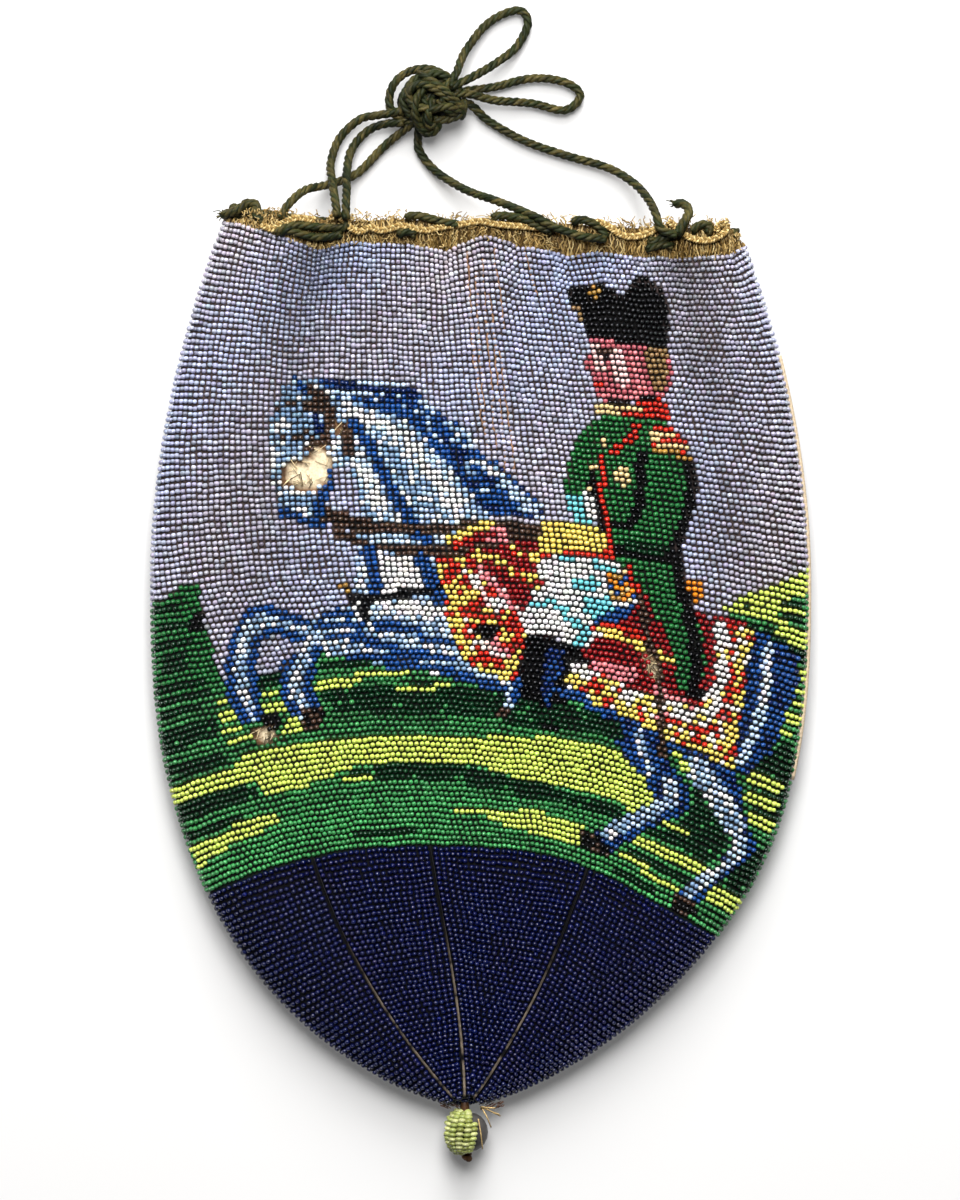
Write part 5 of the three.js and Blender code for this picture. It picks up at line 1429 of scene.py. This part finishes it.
def gilt_fray():
    """Loose curls of metal thread along the top of the band, its front and its lower edge."""
    bundle = Bundle()
    for _ in range(FRAY_CURLS):
        a = RNG.uniform(*FRAY_PLACES)
        _, across, front = mouth_place(np.array([a]))
        top = edging_height(across, front)[0]
        start = top * RNG.choice(FRAY_LEVELS, p=FRAY_SHARES)
        rise = start + np.cumsum(RNG.normal(0.1, 0.4, 4))
        walk = a + np.cumsum(RNG.normal(0, 0.0028, 4))
        reach = RNG.uniform(-0.6, 0.5) + np.cumsum(RNG.normal(0, 0.2, 4))
        line = spline(edging_point(walk, rise, reach), 0.35)
        bundle.tube(line, 0.11, GOLD[RNG.integers(0, 3)] * RNG.uniform(0.7, 1.1), 4)
    bundle.piece("gilt_fray", GILT, "gilt_thread")


# Silk cords

SILK_GREENS = [linear(c) for c in (
    (26, 31, 15), (36, 42, 20), (17, 22, 10), (84, 75, 41), (44, 49, 25), (29, 35, 16), (65, 58, 31),
)]

# Routes of the free strands from the edging to the knot, and of the bow loops
STRANDS = {
    "cord_left_outer": [(-33.4, 99.2, 14.6), (-33.8, 102, 13.4), (-34.6, 107, 9), (-35.2, 112.3, 4),
        (-33.1, 118.4, 1.6), (-28.4, 122.7, 2.4), (-24, 123.6, 4), (-18, 124.5, 5)],
    "cord_left_inner": [(-31.4, 98.6, 14.8), (-31.4, 102, 13.6), (-31.3, 106, 10), (-31.4, 109.6, 6.6),
        (-30.4, 115.4, 2.4), (-26.8, 119.9, 1.5), (-22.5, 121.6, 2.8), (-18, 121.8, 4.5)],
    "cord_left_low": [(-47, 99, 11), (-44.8, 102.4, 10.4), (-41, 105.8, 8), (-35.5, 107.4, 3.4),
        (-29.1, 110, 1.6), (-23, 116.1, 1.2), (-19.5, 119, 2), (-15.5, 122, 4)],
    "cord_centre": [(29.4, 93.8, 15.2), (24, 94.4, 15.8), (17.9, 96.4, 16), (12.2, 99.4, 15),
        (4.2, 102.9, 10.4), (-3.5, 106, 5.2), (-10.6, 110.7, 1.6), (-14.3, 115.4, 1.2),
        (-14.6, 118.2, 1.8), (-14.3, 122, 4)],
    "cord_right": [(46, 94.9, 13), (42.4, 96.2, 13.4), (41.2, 99.8, 12.4), (39.6, 103.4, 8.6),
        (36.2, 107.6, 4), (30.1, 111.4, 1.6), (20, 114.4, 1.2), (10.6, 117.7, 1.2), (2.1, 122.4, 1.2),
        (-2.6, 126.4, 2.6), (-8, 127, 5)],
    "bow_loop_upper": [(-9, 129.5, 6.4), (-5.9, 132.8, 6), (-3.5, 138.7, 3), (2.1, 145.7, 1.2),
        (8.9, 148.6, 1.2), (11.3, 145.7, 1.2), (8.9, 140.3, 1.4), (4.4, 136.4, 3.2), (-1.6, 132.6, 5.6),
        (-7, 130, 7)],
    "bow_loop_right": [(-9, 128, 2.6), (-3, 129.6, 1.7), (3, 130.4, 1.2), (12.2, 132.5, 1.2),
        (20, 131.6, 1.2), (23.7, 128.5, 1.2), (20, 125, 1.2), (12.2, 126.6, 1.3), (3.4, 127.2, 2.9),
        (-3, 128.6, 5.2), (-8, 128, 6)],
}
CUT_ENDS = {
    "cord_end_left": [(-50.6, 98, 10.4), (-52.6, 99.8, 10), (-52.4, 102, 9.4), (-54.6, 102.6, 9),
        (-57, 100.9, 9), (-60.4, 99.9, 7.6)],
    "cord_end_right": [(46.2, 95.2, 12.6), (47.6, 97.6, 12), (49, 100.4, 10.4), (48, 102.3, 8.6),
        (45.9, 102.6, 7)],
}
# Stretches of the drawstrings that show over the front of the edging, in the same pixels
SHOWN_RUNS = [
    [(276, 234), (286, 228), (300, 226), (320, 228), (343, 229), (348, 224)],
    [(280, 234), (289, 231), (302, 235), (316, 238), (330, 238), (342, 235)],
    [(398, 236), (406, 233), (416, 236)],
    [(406, 219), (413, 217), (422, 218), (434, 221), (446, 224), (458, 226)],
    [(492, 219), (500, 217), (511, 218), (524, 221), (538, 228), (552, 233)],
    [(572, 224), (580, 221), (591, 224), (600, 230), (606, 238)],
    [(648, 241), (655, 242), (664, 238), (676, 236), (684, 230)],
    [(646, 250), (654, 247), (664, 245), (672, 247)],
    [(692, 232), (698, 226), (706, 225), (710, 229), (706, 234)],
]
KNOT_CORE, KNOT_CORE_RADII = (-13.2, 126.6, 4.4), (6.4, 5.2, 2.8)
KNOT_TURNS = [
    [(-5, 130.4, 4), (-6.6, 131.9, 4.4), (-10.8, 134.2, 4.6), (-15, 134.4, 4.4), (-18.8, 132.6, 4.2),
        (-21, 129.5, 4), (-21.2, 125.6, 3.8), (-19.1, 123, 3.8), (-15.4, 122, 4)],
    [(-4.6, 129, 5.6), (-8, 132.4, 6.2), (-10.8, 133.2, 6.6), (-15, 132, 6.8), (-17.2, 129.5, 6.8),
        (-18, 126.7, 6.4), (-16.7, 124, 6), (-13.6, 122.4, 6)],
    [(-17.4, 127.4, 7.6), (-16, 129.6, 8.4), (-13.8, 130.6, 8.8), (-11.3, 129.7, 8.8), (-8, 127.6, 8.2),
        (-4.4, 125.2, 6.4), (-4.4, 123, 4.6)],
    [(-3.8, 127, 4.8), (-4.2, 124.1, 5.4), (-7.5, 122.5, 6.2), (-10.8, 122.3, 6.6)],
    [(-14.6, 133.4, 6.8), (-10.9, 131, 8.4), (-7.6, 128.4, 8.6), (-4.9, 125.7, 6.6)],
    [(-16.2, 131, 7), (-16.9, 128.4, 7.8), (-15.6, 125.7, 8), (-11.6, 124.7, 8.4), (-7.6, 125.4, 8.4),
        (-4.9, 124.4, 6.4)],
    [(-12.2, 130.4, 7.6), (-14.6, 127.7, 8.6), (-15.2, 123.7, 8), (-14.2, 121, 6.4), (-11.9, 119, 5)],
    [(-10.9, 127, 8.4), (-12.2, 123.7, 8.2), (-11.9, 121, 6.8), (-10.2, 121.6, 6)],
    [(-9.6, 127, 8.4), (-7.6, 124.4, 7.6), (-5.5, 123.7, 6)],
    [(-15.6, 124, 7), (-14.3, 121, 6.2), (-12.6, 119.3, 5), (-10.4, 120, 5.4), (-9.4, 122.6, 6.2)],
    [(-11.8, 124.4, 8.2), (-12.7, 121.8, 6.8), (-11.6, 120.3, 5.6), (-9.9, 121.6, 5.4)],
    [(-19, 127, 3.4), (-15, 129.5, 4.6), (-11, 129.8, 5), (-7, 127, 4.6), (-8, 123.6, 4), (-12, 122, 4)],
    [(-17, 123, 4.6), (-13.6, 126.4, 6.6), (-9.6, 129, 7), (-6, 131, 5)],
    [(-15.5, 130.8, 6), (-13.2, 127.2, 7.2), (-12.6, 123.8, 7), (-14, 121, 5.2)],
    [(-18.4, 128.8, 3), (-14.4, 126, 4), (-10, 125.4, 4.2), (-6, 125, 3.4)],
    [(-20.4, 124.4, 3.6), (-18.6, 124.6, 5.2), (-17.6, 127.6, 5), (-14, 131.4, 5.2), (-8, 130.8, 5),
        (-5.4, 127.6, 4.6), (-7, 124.4, 4), (-12, 121.4, 3.6)],
]


def drawstring_runs():
    """Both drawstrings all the way round inside the edging, and where they show in front of it."""
    bundle = Bundle()
    for rise in (1.2, 3.0):
        around = even_mouth(330)
        line = edging_point(around, np.full(330, rise), np.full(330, -2.6))
        bundle.twist(np.concatenate([line, line[:1]]), CORD_DIAMETER, SILK_GREENS, sides=5)
    for route in SHOWN_RUNS:
        bundle.twist(spline(on_band(route, 0.4), CORD_STEP), CORD_DIAMETER, SILK_GREENS, rough=0.015)
    bundle.piece("drawstring_runs", SILK, "silk_cord", ["drawstring_run_lower", "drawstring_run_upper"])


def free_strand(name, points):
    line = spline(points, CORD_STEP)
    rope = Bundle()
    rope.twist(line, CORD_DIAMETER, SILK_GREENS, rough=0.015)
    piece = rope.piece("silk_" + name, SILK, "silk_cord", [name])


def cut_end(name, points):
    """Short end of a cord, untwisted and frayed at its tip."""
    line = spline(points, CORD_STEP)
    rope = Bundle()
    rope.twist(line, CORD_DIAMETER * 1.1, SILK_GREENS, rough=0.03)
    out = unit(line[-1] - line[-3])
    for _ in range(26):
        tip = line[-1] + out * RNG.uniform(0.2, 1.1) + RNG.normal(0, 0.5, 3)
        start = line[-2] + RNG.normal(0, 0.45, 3)
        hair = np.stack([start, (start + tip) / 2 + RNG.normal(0, 0.2, 3), tip])
        rope.tube(spline(hair, 0.5), 0.12, SILK_GREENS[RNG.integers(0, 5)] * 1.2, 4)
    rope.piece("silk_" + name, SILK, "silk_cord", [name])


def add_cords():
    drawstring_runs()
    for name, points in STRANDS.items():
        free_strand(name, points)
    for name, points in CUT_ENDS.items():
        cut_end(name, points)
    knot = Bundle()
    # A core fills the knot; its colour, darker than any ply, is painted shade inside the knot
    knot.ball(KNOT_CORE, KNOT_CORE_RADII, SILK_GREENS[2] * 0.5, rings=10, sides=16)
    for points in KNOT_TURNS:
        knot.twist(spline(points, CORD_STEP), CORD_DIAMETER, SILK_GREENS, rough=0.02)
    knot.piece("silk_cord_knot", SILK, "silk_cord", ["cord_knot"])


# Beaded drop

DROP_X, DROP_Y, DROP_Z = TIP_SHIFT, -115.8, 5.8
CORE_RADII, CORE_ASIDE = (4.1, 4.6, 4.0), 1.4
# Strands of beads by their angle round the core, beads still on each, and the lost ones
STRAND_ANGLES, STRAND_BEADS = (-98, -70, -43, -18, 6, 26), (9, 11, 11, 11, 11, 11)
STRAND_TOP, STRAND_FOOT, STRAND_STAGGER = 63, -58, 5
STRAND_REACH, STRAND_HEIGHT = 4.4, 5.3
LOST_DROP_BEADS = ((0, 4), (5, 0), (5, 1), (5, 2), (5, 10))
DROP_BEAD_RADII = (1.02, 0.66, 0.9)
DROP_GREENS = [linear(c) for c in ((158, 166, 96), (140, 150, 80), (176, 180, 120), (124, 130, 64))]
NECK = [(DROP_X + 0.2, -107.6, DROP_Z), (DROP_X, -109.6, DROP_Z + 0.6), (DROP_X + 0.2, -111.4, DROP_Z + 1.6)]
# Frayed threads beside the neck: side, nearest and farthest start
NECK_FRAY = ((-1, 2.4, 6.4), (1, 5.2, 9.6))
# Rows of navy beads that close the tip: half width, place along Y, height
TIP_ROWS = ((4.8, -109.2, 6.2), (4.4, -108.4, 7.0), (3.4, -107.4, 8.0))
TIP_BEAD_RADII = (0.64, 0.56, 0.6)
LOOSE_THREADS = [
    [(0.2, -109.8, 7), (2.2, -110.6, 8), (4.6, -111.6, 7)],
    [(0, -109.8, 7.2), (2.4, -109.9, 8.6), (3.6, -110, 8)],
    [(0.4, -110, 7), (1.6, -112, 8.6), (2.6, -114.6, 6.6)],
    [(-0.4, -112.4, 9.4), (0.2, -116, 9.8), (0.6, -119.6, 8)],
    [(0.4, -109.6, 7), (3, -111, 7.8), (4.8, -112, 6.2)],
]


def drop_core():
    core = Bundle()
    core.ball((DROP_X + CORE_ASIDE, DROP_Y, DROP_Z), CORE_RADII, THREAD["core"], rings=14, sides=20)
    core.piece("drop_core_ball", CORE, "drop_core", ["drop_core"])


def drop_beads():
    beads = Bundle()
    for k, (degrees, count) in enumerate(zip(STRAND_ANGLES, STRAND_BEADS)):
        lats = np.linspace(STRAND_TOP, STRAND_FOOT, count) + STRAND_STAGGER * (-1) ** k
        for i, lat in enumerate(np.radians(lats)):
            if (k, i) in LOST_DROP_BEADS:
                continue
            out = STRAND_REACH * math.cos(lat) ** 0.85
            swing = math.radians(degrees) + 0.16 * math.sin(lat)
            centre = (DROP_X + 0.2 + out * math.sin(swing), DROP_Y + STRAND_HEIGHT * math.sin(lat),
                      DROP_Z + out * math.cos(swing))
            shade = DROP_GREENS[RNG.integers(0, 4)] * RNG.uniform(0.8, 1.1)
            beads.ball(centre, DROP_BEAD_RADII, shade, turn=-0.3 + 0.5 * k / 5, rings=7, sides=10)
    beads.piece("drop_beads", DULL_GLASS, "light_green_glass", [f"drop_strand_{i}" for i in range(1, 8)])


def drop_neck():
    threads = Bundle()
    threads.tube(spline(NECK, 0.4), 1.1, THREAD["brown"] * 0.6, 8)
    for side, nearest, farthest in NECK_FRAY:
        for _ in range(22):
            x = DROP_X + side * RNG.uniform(nearest, farthest)
            start = np.array([x, RNG.uniform(-109.6, -108.4), DROP_Z])
            pull = [-side * RNG.uniform(0.6, 2.2), -RNG.uniform(0.1, 1.1), RNG.uniform(-0.4, 0.6)]
            tip = start + np.array(pull)
            line = np.stack([start, (start + tip) / 2 + RNG.normal(0, 0.1, 3), tip])
            threads.tube(line, 0.11, THREAD["frayed"] * RNG.uniform(0.6, 1.3), 4)
    threads.piece("drop_neck_thread", SILK, "straw_thread", ["drop_neck"])


def tip_beads():
    tip = Bundle()
    for span, fall, height in TIP_ROWS:
        for reach in np.linspace(-span, span, int(span * 3.2)):
            centre = (DROP_X + reach, fall + 0.25 * abs(reach), height - 0.12 * abs(reach))
            tip.ball(centre, TIP_BEAD_RADII, linear(PALETTE["navy"][0]), turn=0.25 * reach / span,
                     rings=5, sides=8)
    tip.piece("tip_beads", GLASS, "navy_glass")


def drop_threads():
    """Knot at the drop's end, and loose threads over the neck and the beads."""
    end = Bundle()
    end.ball((DROP_X + 0.4, -121.0, DROP_Z), (1.3, 1.6, 1.2), THREAD["brown"], rings=8, sides=10)
    end.ball((DROP_X + 0.9, -122.0, DROP_Z), (0.9, 0.9, 0.9), THREAD["brown"] * 0.7, rings=8, sides=10)
    end.piece("drop_end_thread", SILK, "brown_thread", ["drop_end_knot"])
    loose = Bundle()
    for points in LOOSE_THREADS:
        loose.tube(spline(points, 0.6), 0.16, THREAD["straw"] * RNG.uniform(0.8, 1.1), 5)
    loose.piece("drop_loose_threads", SILK, "straw_thread")


bpy.context.scene.view_settings.view_transform = "Standard"
add_camera()
add_lamps()
add_floor()
add_cords()
add_lining()
add_ground()
add_front()
add_back()
add_base()
add_seams()
add_bare_threads()
add_side_tape()
gilt_threads()
gilt_ground()
gilt_rim()
gilt_fray()
drop_core()
drop_beads()
drop_neck()
tip_beads()
drop_threads()
